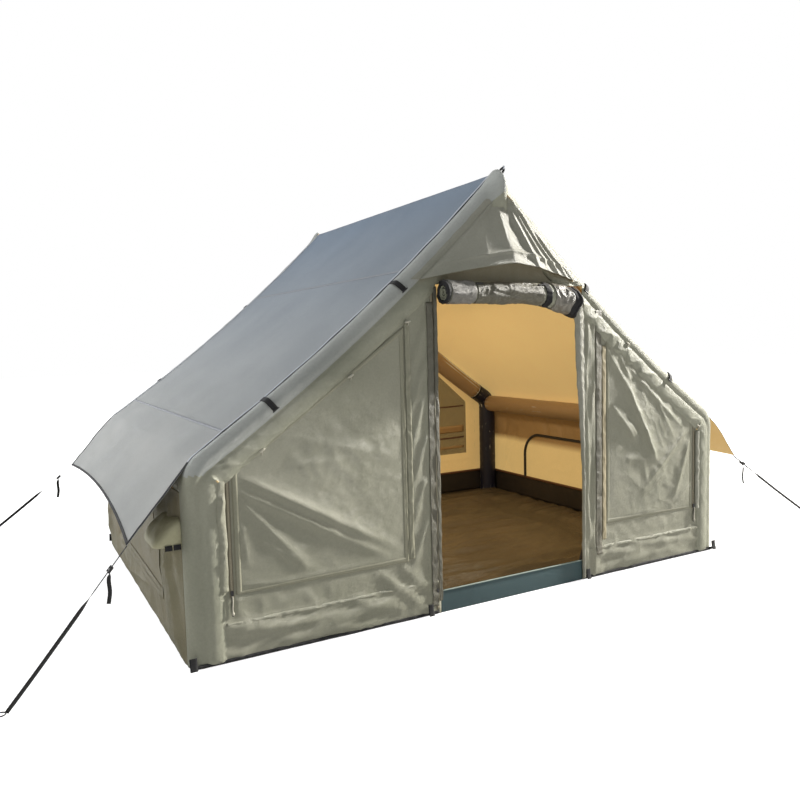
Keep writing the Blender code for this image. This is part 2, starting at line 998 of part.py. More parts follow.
def fly_line():
    """The fly's outer face over the gable, as (x, z)."""
    return beside(GABLE, -fly_gap - fly_cloth)


def build_fly(material):
    line = fly_line()
    roof = line[ARC_START + arc_steps - 1 : len(line) - ARC_START - arc_steps + 1]
    rows = len(roof) - 1 + 2 * awning_rows

    def place(across, along):
        y = fly_half_depth * centred(across)
        row = round(along * rows)
        hollow = awning_hollow * (1 - centred(across) ** 2)
        if row < awning_rows or row > rows - awning_rows:
            right = row < awning_rows
            share = (awning_rows - row if right else row - rows + awning_rows) / awning_rows
            root = roof[0] if right else roof[-1]
            sign = 1 if right else -1
            corner = Vector((sign * awning_corner.x, awning_corner.y))
            reach = 1 - hollow / (corner - root).length
            point = root.lerp(corner, share * reach)
        else:
            point = roof[row - awning_rows]
        return Vector((point.x, y, point.y))

    sheet = bent_grid(fly_steps, rows, place)
    sheet.normal_update()
    top = max(sheet.faces, key=lambda face: face.calc_center_median().z)
    if top.normal.z < 0:
        bmesh.ops.reverse_faces(sheet, faces=sheet.faces)
    fly = add_piece("fly_sheet", sheet, material, smooth_angle=tube_edge_angle)
    thicken(fly, fly_cloth)


def build_straps(material):
    """Webbing from the fly's edge, over the rolled edge of the gable and down its face, with a hook."""
    over = beside(GABLE, -fly_gap - fly_cloth - seat_gap)
    middle_wrap, lower_wrap = strap_wrap_shares
    rafter_start = over[ARC_START + arc_steps]
    ridge = over[RIDGE_INDEX]
    for end, side in (("front", -1), ("rear", 1)):
        for number, share in enumerate(strap_rafter_shares):
            for hand, sign in (("right", 1), ("left", -1)):
                x = rafter_start.x + (ridge.x - rafter_start.x) * share
                z = height_on(over, x)
                slope = (height_on(over, x - strap_width) - z) / strap_width
                along = Vector((-1, 0, slope)).normalized()
                out = Vector((slope, 0, 1)).normalized()
                face_y = half_depth + strap_lift
                steps = []
                steps.append((out * 0, fly_half_depth - strap_on_fly))
                steps.append((out * 0, fly_half_depth + strap_lift))
                steps.append((out * -rim_round * middle_wrap, face_y - strap_lift / 4))
                steps.append((out * -rim_round * lower_wrap, face_y))
                steps.append((out * -(rim_round + strap_down_front), face_y))

                seat = Vector((x, 0, z))

                def place(across, length, steps=steps, along=along, seat=seat, sign=sign, side=side):
                    lift, y = steps[round(length * (len(steps) - 1))]
                    point = seat + lift + along * strap_width * centred(across) / 2
                    return Vector((sign * point.x, side * y, point.z))

                strap_sheet = bent_grid(1, len(steps) - 1, place)
                strap_sheet.normal_update()
                first = max(strap_sheet.faces, key=lambda face: face.calc_center_median().z)
                if first.normal.z < 0:
                    bmesh.ops.reverse_faces(strap_sheet, faces=strap_sheet.faces)
                name = f"fly_strap_{end}_{hand}_{'upper' if number else 'lower'}"
                strap = add_piece(name, strap_sheet, material)
                thicken(strap, strap_cloth, offset=1.0)
                bar_centre = seat + steps[-1][0]
                bar_start = bar_centre - along * strap_bar_length / 2
                bar_y = side * (steps[-1][1] + strap_cloth / 2)
                bar = cylinder_piece(
                    f"{name}_bar",
                    (sign * bar_start.x, bar_y, bar_start.z),
                    (sign * along.x, 0, along.z),
                    strap_bar_radius,
                    strap_bar_length,
                    material,
                    strap_bar_sides,
                )
                cut(strap, bar, "UNION")


# Door hood and rolled door


def build_hood(material):
    """Cloth from the gable's peak down both rafters, its hem arched and standing forward."""
    edge_line = beside(GABLE, hood_edge_inset)
    seat_line = beside(GABLE, rim_round)
    edge_y = -(body_half_depth + math.sqrt(rim_round**2 - (rim_round - hood_edge_inset) ** 2))
    edge_y -= hood_edge_lift
    seat_y = front_face - seat_gap
    apex = edge_line[RIDGE_INDEX].y

    def place(across, down):
        side = centred(across)
        column = round(across * hood_columns)
        z_edge = apex + (hood_corner_height - apex) * down
        if column in (0, hood_columns):
            return Vector((math.copysign(half_width_at(edge_line, z_edge), side), edge_y, z_edge))
        inner = centred((column - 1) / (hood_columns - 2))
        z_side = min(z_edge, seat_line[RIDGE_INDEX].y)
        x = half_width_at(seat_line, z_side) * inner
        arch = 1 - abs(inner) ** hood_arch_power
        z = z_side + hood_rise * down * arch
        crease = 0.0
        for fold_share in hood_fold_shares:
            line = fold_share + hood_fold_lean_share * (1 - down)
            crease += fold(inner - line, hood_crease, hood_crease_width)
        y = seat_y - (hood_reach * down**hood_down_power + crease * down) * arch**hood_side_power
        return Vector((x, y, z))

    sheet = bent_grid(hood_columns, hood_rows, place)
    bmesh.ops.remove_doubles(sheet, verts=sheet.verts, dist=merge_distance)
    bmesh.ops.recalc_face_normals(sheet, faces=sheet.faces)
    sheet.normal_update()
    widest = max(sheet.faces, key=lambda face: face.calc_area())
    if widest.normal.y > 0:
        bmesh.ops.reverse_faces(sheet, faces=sheet.faces)
    hood = add_piece("door_hood", sheet, material, smooth_angle=creased_edge_angle)
    thicken(hood, hood_cloth, offset=1.0)


def roll_profile(across):
    """The rolled cloth's mid-line at one place along the doorway, as (y, z), ending at its head."""
    loosening = max(across, 0.0) ** 2
    outer = roll_radius + roll_flare * loosening
    pitch = (roll_cloth + roll_turn_gap) * (1 + roll_flare * loosening / roll_radius)
    steps = roll_turns * roll_steps_per_turn
    middle = Vector((roll_y, door_height - roll_drop - roll_droop * loosening))
    profile = []
    for step in range(steps + 1):
        left = 2 * math.pi * (steps - step) / roll_steps_per_turn
        angle = roll_leave_angle - left
        wave = math.sin(roll_waves * angle + roll_wave_lean * across) * (1 - across**2)
        radius = outer - pitch * left / (2 * math.pi) + roll_wrinkle * wave
        profile.append(middle + radius * Vector((-math.cos(angle), math.sin(angle))))
    lead_y = front_face - seat_gap - roll_cloth / 2
    foot = profile[-1].y
    head = door_height + roll_head_seat
    profile.append(Vector((lead_y, foot + (head - foot) * roll_lead_share)))
    profile.append(Vector((lead_y, head)))
    return profile


def least_turn_gap(profile):
    """The smallest clear distance between turns of a wound cloth."""
    least = math.inf
    reach = roll_steps_per_turn // 2
    for index, point in enumerate(profile):
        for first, second in zip(profile[: max(index - reach, 0)], profile[1:]):
            side = second - first
            share = min(max((point - first).dot(side) / side.length_squared, 0.0), 1.0)
            least = min(least, (point - first - side * share).length - roll_cloth)
    return least


def roll_place(station, point):
    """A point of the roll's section, put at its station along the doorway."""
    across = centred(station / roll_stations)
    return Vector((roll_centre_x + roll_half_length * across, point.x, point.y))


def build_roll(materials):
    """The door cloth wound on itself, with the band round it and two toggles."""
    profiles = [roll_profile(centred(station / roll_stations)) for station in range(roll_stations + 1)]
    least = min(least_turn_gap(profile) for profile in profiles)
    print("rolled door, least gap between turns in metres:", round(least, 5))

    def place(across, along):
        station = round(across * roll_stations)
        return roll_place(station, profiles[station][round(along * (len(profiles[0]) - 1))])

    sheet = bent_grid(roll_stations, len(profiles[0]) - 1, place)
    sheet.normal_update()
    roll = add_piece("door_roll", sheet, materials["khaki"], smooth_angle=rolled_edge_angle)
    thicken(roll, roll_cloth, offset=0.0)
    build_band(profiles, materials)


def build_band(profiles, materials):
    """The band lies on the outer turn, from behind the roll under it to its upper front."""
    outer_end = roll_turns * roll_steps_per_turn
    first_station, last_station = (round(share * roll_stations) for share in band_length_shares)
    near, far = (round(share * roll_steps_per_turn) for share in band_turn_shares)
    lines = []
    for station in range(first_station, last_station + 1):
        line = beside(profiles[station], roll_cloth / 2 + seat_gap)
        lines.append(line[outer_end - far : outer_end - near + 1])
    columns = last_station - first_station
    rows = far - near

    def place(across, along):
        column = round(across * columns)
        return roll_place(first_station + column, lines[column][round(along * rows)])

    sheet = bent_grid(columns, rows, place)
    sheet.normal_update()
    front = min(sheet.faces, key=lambda face: face.calc_center_median().y)
    if front.normal.y > 0:
        bmesh.ops.reverse_faces(sheet, faces=sheet.faces)
    band = add_piece("door_band", sheet, materials["khaki"], smooth_angle=rolled_edge_angle)
    thicken(band, band_cloth, offset=1.0)

    for hand, column, ahead in (("left", 0, 1), ("right", columns, columns - 1)):
        edges = []
        for index in (column, ahead):
            station = first_station + index
            edges.append([roll_place(station, point) for point in lines[index][-2:]])
        (low, high), (low_ahead, high_ahead) = edges
        out = (high - low + high_ahead - low_ahead).cross(low_ahead - low + high_ahead - high)
        out.normalize()
        if out.y > 0:
            out.negate()
        share = toggle_margin * roll_stations / (2 * roll_half_length)
        seat = ((low + high) / 2).lerp((low_ahead + high_ahead) / 2, share)
        seat += out * (band_cloth + 2 * seat_gap)
        toggle = bmesh.new()
        add_cylinder(toggle, (0, 0, 0), out, toggle_neck_radius, toggle_neck, tube_sides)
        piece = add_piece(f"door_toggle_{hand}", toggle, materials["black_plastic"])
        piece.location = seat
        rod_axis = (Vector((1, 0, 0)) - out * out.x).normalized()
        rod = cylinder_piece(
            f"door_toggle_rod_{hand}",
            seat + out * toggle_neck - rod_axis * toggle_length / 2,
            rod_axis,
            toggle_radius,
            toggle_length,
            materials["black_plastic"],
            tube_sides,
        )
        cut(piece, rod, "UNION")


# Window flaps


def flap_point(hand, across, along, outline):
    """A place on a window flap as (x, z): across from its outer edge, along from its foot."""
    outer_foot, inner_foot, inner_top, outer_top = outline
    foot = outer_foot.lerp(inner_foot, across)
    top = outer_top.lerp(inner_top, across)
    return foot.lerp(top, along)


def flap_swelling(hand, point, across, along, outline):
    """How far the flap stands off the wall: a soft belly and folds that fan from its tie loop."""
    edge = (math.sin(math.pi * across) * math.sin(math.pi * along)) ** flap_edge_power
    belly = flap_swell * (1 - along * flap_belly_fade_share)
    outer_top, inner_top = outline[3], outline[2]
    if hand == "left":
        knot = outer_top.lerp(inner_top, left_knot_share)
        angles = left_fold_angles
    else:
        knot = outer_top.lerp(inner_top, right_knot_share)
        angles = right_fold_angles
    away = point - knot
    folds = 0.0
    for angle in angles:
        ray = Vector((math.cos(math.radians(angle)), math.sin(math.radians(angle))))
        run = away.dot(ray)
        if run > 0:
            off_line = abs(away.x * ray.y - away.y * ray.x)
            width = flap_fold_width + flap_fold_widening_share * run
            folds += fold(off_line, flap_fold_height, width) * min(run / flap_fold_start, 1.0)
    return (belly + folds) * edge


def build_flaps(materials):
    for end, side in (("front", -1), ("rear", 1)):
        for hand in ("left", "right"):
            outline = flap_outline(hand)
            columns, rows = (flap_columns, flap_rows)
            if end == "rear":
                columns, rows = (rear_flap_columns, rear_flap_rows)
            back_y = half_depth + seat_gap

            def place(across, along, hand=hand, outline=outline, side=side, back_y=back_y):
                point = flap_point(hand, across, along, outline)
                out = flap_swelling(hand, point, across, along, outline)
                return Vector((point.x, side * (back_y + out), point.y))

            sheet = bent_grid(columns, rows, place)
            sheet.normal_update()
            if sheet.faces[:][0].normal.y * side < 0:
                bmesh.ops.reverse_faces(sheet, faces=sheet.faces)
            middle = (outline[2] + outline[3]) / 2
            hinge = Vector((middle.x, side * (back_y + flap_cloth / 2), middle.y))
            flap = add_piece(
                f"{end}_window_flap_{hand}",
                sheet,
                materials["khaki"],
                origin=hinge,
                smooth_angle=creased_edge_angle,
            )
            thicken(flap, flap_cloth, offset=1.0)


# Port hood


def build_port_hood(material):
    """A quarter-round scoop of cloth with closed ends, open at its foot."""
    front = -half_depth + port_front_inset
    seat_x = -half_width - seat_gap

    def shell(radius, start, length, drop):
        outline = [Vector((seat_x, start, port_bottom - drop))]
        for step in range(port_steps + 1):
            angle = math.pi / 2 * step / port_steps
            outline.append(
                Vector(
                    (
                        seat_x - radius * math.cos(angle),
                        start,
                        port_bottom + radius * math.sin(angle),
                    )
                )
            )
        if drop:
            outline.insert(1, Vector((seat_x - radius, start, port_bottom - drop)))
        return prism(outline, (0, length, 0))

    hood = add_piece("port_hood", shell(port_radius, front, port_length, 0.0), material)
    hollow_radius = port_radius - wall_cloth
    cutter_mesh = shell(hollow_radius, front + wall_cloth, port_length - 2 * wall_cloth, overrun)
    hollow = add_piece("port_hood_hollow", cutter_mesh, material)
    cut(hood, hollow)


# Zip sliders


def add_slider(name, x, z, pull_colour):
    """A slider on the gable's face with its pull hanging below it."""
    back = front_face - seat_gap
    pull_front = back - slider_height * pull_seat_share
    body = box_piece(
        name,
        (x - slider_width / 2, back - slider_height, z),
        (x + slider_width / 2, back, z + slider_length),
        pull_colour,
    )
    pull = box_piece(
        f"{name}_pull",
        (x - pull_width / 2, pull_front, z - pull_length),
        (x + pull_width / 2, pull_front + pull_thickness, z + slider_length / 2),
        pull_colour,
    )
    cut(body, pull, "UNION")
    return body


def build_sliders(materials):
    left_x = -flap_outer_x - zip_slot_offset
    add_slider("zip_slider_left", left_x, flap_bottom, materials["cream_cord"])
    add_slider("zip_slider_right", -left_x, flap_bottom, materials["cream_cord"])
    door_x = door_centre - door_half_width - zip_slot_offset
    add_slider("door_zip_slider", door_x, door_slider_height, materials["black_plastic"])


# Guy webbing and ladder locks


def guy_points(corner):
    """The places that a guy goes through, from the awning's corner down to the ground."""
    end, hand = corner.split("_")
    side = -1 if end == "front" else 1
    sign = -1 if hand == "left" else 1
    heights = [awning_corner.y * share for share in guy_height_shares]
    heights.append(webbing_width / 2 + slide_gap)
    points = []
    for reach_share, splay, height in zip(guy_reach_shares, guy_splays, heights):
        x = awning_corner.x + guy_reaches[corner] * reach_share
        y = fly_half_depth - guy_corner_inset + splay
        points.append((sign * x, side * y, height))
    return points


def smooth_route(points, steps):
    """Points along a smooth curve through a cord's chosen points."""
    points = [Vector(point) for point in points]
    ends = [2 * points[0] - points[1]] + points + [2 * points[-1] - points[-2]]
    found = []
    for step in range(steps + 1):
        place = step / steps * (len(points) - 1)
        index = min(int(place), len(points) - 2)
        t = place - index
        a, b, c, d = ends[index : index + 4]
        straight = (c - a) * t
        bend = (2 * a - 5 * b + 4 * c - d) * t**2
        ease = (3 * b - a - 3 * c + d) * t**3
        found.append(b + (straight + bend + ease) / 2)
    return found


def webbing_axes(direction):
    """The webbing's width and thickness directions where it lies untwisted."""
    width = Vector((0, 1, 0))
    width = (width - direction * width.dot(direction)).normalized()
    return width, direction.cross(width).normalized()


def build_guys(materials):
    """Flat webbing from each awning corner to the ground, twisted once below its lock."""
    for corner in guy_reaches:
        route = smooth_route(guy_points(corner), guy_steps)
        band = bpy.data.curves.new(f"guy_{corner}", "CURVE")
        band.dimensions = "3D"
        band.twist_mode = "Z_UP"
        band.extrude = (webbing_width - webbing_cloth) / 2
        band.bevel_depth = webbing_cloth / 2
        band.bevel_resolution = 0
        band.use_fill_caps = True
        line = band.splines.new("POLY")
        line.points.add(len(route) - 1)
        length = sum((second - first).length for first, second in zip(route, route[1:]))
        travelled = 0.0
        for index, point in enumerate(route):
            travelled += (point - route[max(index - 1, 0)]).length
            share = (travelled - webbing_flat_length) / (length - webbing_flat_length)
            share = min(max(share / webbing_twist_share, 0.0), 1.0)
            line.points[index].co = (*point, 1.0)
            line.points[index].tilt = math.pi / 2 + 2 * math.pi * webbing_twist_turns * share
        band.materials.append(materials["webbing"])
        guy = bpy.data.objects.new(f"guy_{corner}", band)
        bpy.context.scene.collection.objects.link(guy)
        build_lock(corner, route, materials["black_plastic"])


def build_lock(corner, route, material):
    """A ladder lock: two rails beside the webbing, two bars under it and one over it."""
    direction = (route[4] - route[2]).normalized()
    width_axis, thick_axis = webbing_axes(direction)
    if thick_axis.z < 0:
        thick_axis = -thick_axis
    place = route[0]
    travelled = 0.0
    for first, second in zip(route, route[1:]):
        step = (second - first).length
        if travelled + step >= lock_place:
            place = first.lerp(second, (lock_place - travelled) / step)
            break
        travelled += step
    axes = Matrix((direction, width_axis, thick_axis)).transposed().to_4x4()
    frame = Matrix.Translation(place) @ axes
    rail_y = webbing_width / 2 + slide_gap + lock_rail / 2
    bar_z = webbing_cloth / 2 + slide_gap + lock_height / 2
    span = 2 * rail_y
    rail_height = 2 * bar_z + lock_height + lock_lip
    bar_place = (lock_length - lock_bar - lock_lip) / 2
    blocks = []
    for side in (-1, 1):
        blocks.append(((0, side * rail_y, 0), (lock_length, lock_rail, rail_height)))
    for end in (-1, 1):
        blocks.append(((end * bar_place, 0, -bar_z), (lock_bar, span, lock_height)))
    blocks.append(((0, 0, bar_z), (lock_bar, span, lock_height)))
    lock = None
    for number, (centre, size) in enumerate(blocks):
        block = bmesh.new()
        bmesh.ops.create_cube(block, size=1.0)
        for vert in block.verts:
            local = Vector([centre[i] + vert.co[i] * size[i] for i in range(3)])
            vert.co = axes.to_3x3() @ local
        name = f"guy_lock_{corner}" if number == 0 else f"guy_lock_{corner}_bar_{number}"
        piece = add_piece(name, block, material)
        piece.matrix_world = Matrix.Translation(frame.translation)
        if lock is None:
            lock = piece
        else:
            cut(lock, piece, "UNION")


def build_materials():
    return {
        "khaki": make_material("khaki_cloth", (0.30, 0.29, 0.21), 0.75),
        "fly": make_material("fly_cloth", (0.36, 0.37, 0.36), 0.6),
        "floor": make_material("floor_cloth", (0.09, 0.06, 0.04), 0.4),
        "navy_sleeve": make_material("post_sleeve_cloth", (0.02, 0.022, 0.035), 0.7),
        "tan_sleeve": make_material("beam_sleeve_cloth", (0.25, 0.17, 0.09), 0.7),
        "film": make_material("air_film", (0.6, 0.62, 0.62), 0.3),
        "net": make_material("insect_net", (0.05, 0.05, 0.05), 0.9),
        "webbing": make_material("black_webbing", (0.012, 0.012, 0.013), 0.7),
        "black_plastic": make_material("black_plastic", (0.015, 0.015, 0.016), 0.45),
        "cream_cord": make_material("cream_cord", (0.75, 0.72, 0.62), 0.7),
        "valve": make_material("valve_plastic", (0.04, 0.04, 0.045), 0.4),
    }


def build_tent():
    clear_objects()
    materials = build_materials()
    build_frame(materials)
    build_valve(materials)
    build_floor(materials["floor"])
    build_front_wall(materials)
    build_rear_wall(materials["khaki"])
    build_side_walls(materials)
    build_canopy(materials["khaki"])
    build_fly(materials["fly"])
    build_straps(materials["webbing"])
    build_hood(materials["khaki"])
    build_roll(materials)
    build_flaps(materials)
    build_port_hood(materials["khaki"])
    build_sliders(materials)
    build_guys(materials)


build_tent()
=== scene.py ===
from math import atan2, copysign, cos, exp, hypot, inf, pi, radians, sin, sqrt

import bmesh
import bpy
from mathutils import Matrix, Vector, noise


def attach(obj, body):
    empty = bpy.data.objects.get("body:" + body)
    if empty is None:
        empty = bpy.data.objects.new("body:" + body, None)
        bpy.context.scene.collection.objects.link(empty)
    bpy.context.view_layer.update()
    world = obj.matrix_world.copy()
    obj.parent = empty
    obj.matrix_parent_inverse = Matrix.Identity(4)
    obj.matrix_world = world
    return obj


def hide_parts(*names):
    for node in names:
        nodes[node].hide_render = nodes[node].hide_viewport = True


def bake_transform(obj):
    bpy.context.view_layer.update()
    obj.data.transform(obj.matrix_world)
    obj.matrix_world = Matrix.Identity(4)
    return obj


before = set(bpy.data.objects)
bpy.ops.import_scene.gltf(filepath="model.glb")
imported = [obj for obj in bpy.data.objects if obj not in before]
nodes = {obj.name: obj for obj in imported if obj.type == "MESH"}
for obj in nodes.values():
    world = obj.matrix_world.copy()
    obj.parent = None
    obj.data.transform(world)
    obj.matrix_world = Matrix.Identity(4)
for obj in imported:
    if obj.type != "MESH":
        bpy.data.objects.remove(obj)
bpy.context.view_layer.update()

# Tent body over its outer faces
half_width = 1.5
half_depth = 1.1
side_half_depth = 1.04
post_height = 0.6938
eave_round = 0.17
ridge_height = 2.011
rafter_sag = 0.045
rim_round = 0.06
wall_cloth = 0.004
thin_cloth = 0.002
folded_cloth = 0.003
seat_gap = 0.0003
cut_snap = 0.00005

# Doorway and flaps
door_left = -0.36
door_right = 0.50
door_height = 1.50
sill_height = 0.10
flap_outlines = {
    "left": ((-1.31, 0.27), (-0.525, 0.27), (-0.525, 1.315), (-1.31, 0.755)),
    "right": ((1.31, 0.27), (0.665, 0.27), (0.665, 1.315), (1.31, 0.755)),
}
window_outlines = {
    "left": ((-1.265, 0.315), (-0.57, 0.315), (-0.57, 1.2276), (-1.265, 0.7318)),
    "right": ((1.265, 0.315), (0.71, 0.315), (0.71, 1.2163), (1.265, 0.7345)),
}

# Ways that pieces face, and the two sides of each pair
front, rear, up = (0, -1, 0), (0, 1, 0), (0, 0, 1)
ends = (("front", -1), ("rear", 1))
hands = (("left", -1), ("right", 1))

# Camera, fitted to the corners of the doorway, the windows and the ground line
camera_place = Vector((-2.100, -3.931, 1.267))
camera_yaw = radians(28.737)
camera_pitch = radians(4.798)
camera_roll = radians(-1.483)
camera_lens = 33.32
camera_sensor = 36.0


def place_camera():
    level = cos(camera_pitch)
    ahead = Vector((sin(camera_yaw) * level, cos(camera_yaw) * level, -sin(camera_pitch)))
    level_right = Vector((cos(camera_yaw), -sin(camera_yaw), 0))
    level_up = level_right.cross(ahead)
    right = cos(camera_roll) * level_right + sin(camera_roll) * level_up
    top = cos(camera_roll) * level_up - sin(camera_roll) * level_right
    data = bpy.data.cameras.new("camera")
    data.lens = camera_lens
    data.sensor_width = camera_sensor
    camera = bpy.data.objects.new("camera", data)
    turn = Matrix((right, top, -ahead)).transposed().to_4x4()
    camera.matrix_world = Matrix.Translation(camera_place) @ turn
    bpy.context.scene.collection.objects.link(camera)
    bpy.context.scene.camera = camera


place_camera()

# Node groups and materials

group_inputs = {
    "Colour": "NodeSocketColor",
    "Faded Colour": "NodeSocketColor",
    "Thread Size": "NodeSocketFloat",
    "Crumple Size": "NodeSocketFloat",
}
group_outputs = {"Colour": "NodeSocketColor", "Roughness": "NodeSocketFloat", "Height": "NodeSocketFloat"}


def feed(tree, node, values):
    """Sets each input of a node: plain values as they are, anything else by a link."""
    for key, value in values.items():
        if isinstance(value, (int, float, tuple)):
            node.inputs[key].default_value = value
        else:
            tree.links.new(value, node.inputs[key])


def add_node(tree, kind, values, **settings):
    node = tree.nodes.new("ShaderNode" + kind)
    for key, value in settings.items():
        setattr(node, key, value)
    feed(tree, node, values)
    return node


def math_node(tree, operation, first, second=0.0):
    return add_node(tree, "Math", {0: first, 1: second}, operation=operation).outputs[0]


def mix_colours(tree, factor, first, second, blend="MIX"):
    values = {0: factor, 6: first, 7: second}
    return add_node(tree, "Mix", values, data_type="RGBA", blend_type=blend).outputs[2]


def noise_value(tree, place, scale, detail=2.0):
    return add_node(tree, "TexNoise", {"Scale": scale, "Detail": detail, "Vector": place}).outputs["Fac"]


def spread(tree, value, low, high, to_low=0.0, to_high=1.0):
    values = {"From Min": low, "From Max": high, "To Min": to_low, "To Max": to_high, "Value": value}
    return add_node(tree, "MapRange", values).outputs["Result"]


def divide_place(tree, place, size):
    return add_node(tree, "VectorMath", {0: place, 1: size}, operation="DIVIDE").outputs[0]


def point_place(tree, kind="Object"):
    return add_node(tree, "TexCoord", {}).outputs[kind]


def split_place(tree, kind="Object"):
    """The coordinates of a point one by one: in its object, or in its own map."""
    return add_node(tree, "SeparateXYZ", {0: point_place(tree, kind)}).outputs


def start_group(name, inputs, outputs):
    tree = bpy.data.node_groups.new(name, "ShaderNodeTree")
    for side, sockets in (("INPUT", inputs), ("OUTPUT", outputs)):
        for label, kind in sockets.items():
            tree.interface.new_socket(name=label, in_out=side, socket_type=kind)
    return tree, tree.nodes.new("NodeGroupInput").outputs, tree.nodes.new("NodeGroupOutput")


def thread_lines(tree, place, direction, size):
    spot = divide_place(tree, place, size)
    values = {"Distortion": 0.6, "Detail": 1.0, "Detail Scale": 2.0, "Vector": spot}
    return add_node(tree, "TexWave", values, bands_direction=direction).outputs["Fac"]


def canvas_group():
    """Woven cloth: crossing threads, a soft crumple, and faded and soiled patches."""
    tree, start, end = start_group("woven cloth", group_inputs, group_outputs)
    place = point_place(tree)
    size = start["Thread Size"]
    threads = thread_lines(tree, place, "X", size)
    for direction in ("Y", "Z"):
        threads = math_node(tree, "ADD", threads, thread_lines(tree, place, direction, size))
    patches = spread(tree, noise_value(tree, place, 2.1, 4.0), 0.35, 0.7)
    slubs = spread(tree, noise_value(tree, place, 95.0, 3.0), 0.3, 0.75, -0.5, 0.5)
    dents = noise_value(tree, divide_place(tree, place, start["Crumple Size"]), 1.0, 3.0)
    colour = mix_colours(tree, patches, start["Colour"], start["Faded Colour"])
    shade = math_node(tree, "ADD", math_node(tree, "MULTIPLY", slubs, 0.10), 1.0)
    shaded = add_node(tree, "VectorMath", {0: colour, "Scale": shade}, operation="SCALE").outputs[0]
    height = math_node(tree, "MULTIPLY", threads, 0.08)
    height = math_node(tree, "ADD", height, math_node(tree, "MULTIPLY", dents, 1.0))
    height = math_node(tree, "ADD", height, math_node(tree, "MULTIPLY", slubs, 0.05))
    roughness = spread(tree, patches, 0.0, 1.0, 0.44, 0.58)
    feed(tree, end, {"Colour": shaded, "Roughness": roughness, "Height": height})
    return tree


def stitch_group():
    """Two rows of short stitches along a tape, from its own map: metres along, share across."""
    inputs, outputs = {"Stitch Length": "NodeSocketFloat"}, {"Mask": "NodeSocketFloat"}
    tree, start, end = start_group("stitches", inputs, outputs)
    along, across, _ = split_place(tree, "UV")
    step = math_node(tree, "DIVIDE", along, start["Stitch Length"])
    dash = math_node(tree, "LESS_THAN", math_node(tree, "FRACT", step), 0.62)
    rows = 0.0
    for row in (0.2, 0.8):
        off = math_node(tree, "ABSOLUTE", math_node(tree, "SUBTRACT", across, row))
        rows = math_node(tree, "ADD", rows, math_node(tree, "LESS_THAN", off, 0.05))
    feed(tree, end, {"Mask": math_node(tree, "MULTIPLY", dash, rows)})
    return tree


canvas = canvas_group()
stitches = stitch_group()


def srgb(red, green, painted_sky_tint):
    """A colour from the values a picture shows, as linear light."""
    values = []
    for value in (red, green, painted_sky_tint):
        share = value / 255
        values.append(share / 12.92 if share <= 0.04045 else ((share + 0.055) / 1.055) ** 2.4)
    return (*values, 1.0)


def start_material(name):
    material = bpy.data.materials.new(name)
    material.use_nodes = True
    return material, material.node_tree, material.node_tree.nodes["Principled BSDF"]


def add_bump(tree, shader, height, strength, distance):
    bump = add_node(tree, "Bump", {"Strength": strength, "Distance": distance, "Height": height})
    feed(tree, shader, {"Normal": bump.outputs["Normal"]})


def woven(tree, colour, faded, thread, crumple_size):
    values = {"Colour": srgb(*colour), "Faded Colour": srgb(*faded)}
    values.update({"Thread Size": thread, "Crumple Size": crumple_size})
    return add_node(tree, "Group", values, node_tree=canvas).outputs


def cloth_material(name, colour, faded, thread=0.0012, crumple=0.05, bump=0.004, gloss=None, glow=None):
    """Cloth in its clean and its faded colour; glow is a colour with a strength."""
    material, tree, shader = start_material(name)
    cloth = woven(tree, colour, faded, thread, crumple)
    roughness = cloth["Roughness"] if gloss is None else gloss
    feed(tree, shader, {"Base Color": cloth["Colour"], "Roughness": roughness})
    if glow:
        feed(tree, shader, {"Emission Color": srgb(*glow[0]), "Emission Strength": glow[1]})
    add_bump(tree, shader, cloth["Height"], 0.55, bump)
    return material


def tape_material(name, colour, thread_colour, roughness=0.6, stitch=0.006):
    material, tree, shader = start_material(name)
    cloth = woven(tree, colour, colour, 0.0009, 0.02)
    marks = add_node(tree, "Group", {"Stitch Length": stitch}, node_tree=stitches).outputs["Mask"]
    shown = mix_colours(tree, marks, cloth["Colour"], srgb(*thread_colour))
    feed(tree, shader, {"Base Color": shown, "Roughness": roughness})
    add_bump(tree, shader, math_node(tree, "SUBTRACT", cloth["Height"], marks), 0.5, 0.001)
    return material


def plastic_material(name, shade, roughness=0.4):
    material, tree, shader = start_material(name)
    place = point_place(tree)
    speckle = noise_value(tree, place, 700.0)
    scuffs = spread(tree, noise_value(tree, place, 60.0, 5.0), 0.55, 0.8)
    colour = srgb(*shade)
    light = tuple(min(value * 1.6 + 0.02, 1.0) for value in colour[:3]) + (1.0,)
    worn = spread(tree, scuffs, 0.0, 1.0, roughness, roughness + 0.2)
    feed(tree, shader, {"Base Color": mix_colours(tree, scuffs, colour, light), "Roughness": worn})
    add_bump(tree, shader, speckle, 0.3, 0.0004)
    return material


def net_material(name, colour):
    """Insect net: threads a millimetre apart with the gaps between them clear."""
    material, tree, shader = start_material(name)
    place = split_place(tree)
    threads = 0.0
    for axis in (0, 2):
        share = math_node(tree, "FRACT", math_node(tree, "DIVIDE", place[axis], 0.0016))
        threads = math_node(tree, "MAXIMUM", threads, math_node(tree, "LESS_THAN", share, 0.36))
    alpha = spread(tree, threads, 0.0, 1.0, 0.12, 1.0)
    feed(tree, shader, {"Base Color": srgb(*colour), "Roughness": 0.6, "Alpha": alpha})
    return material


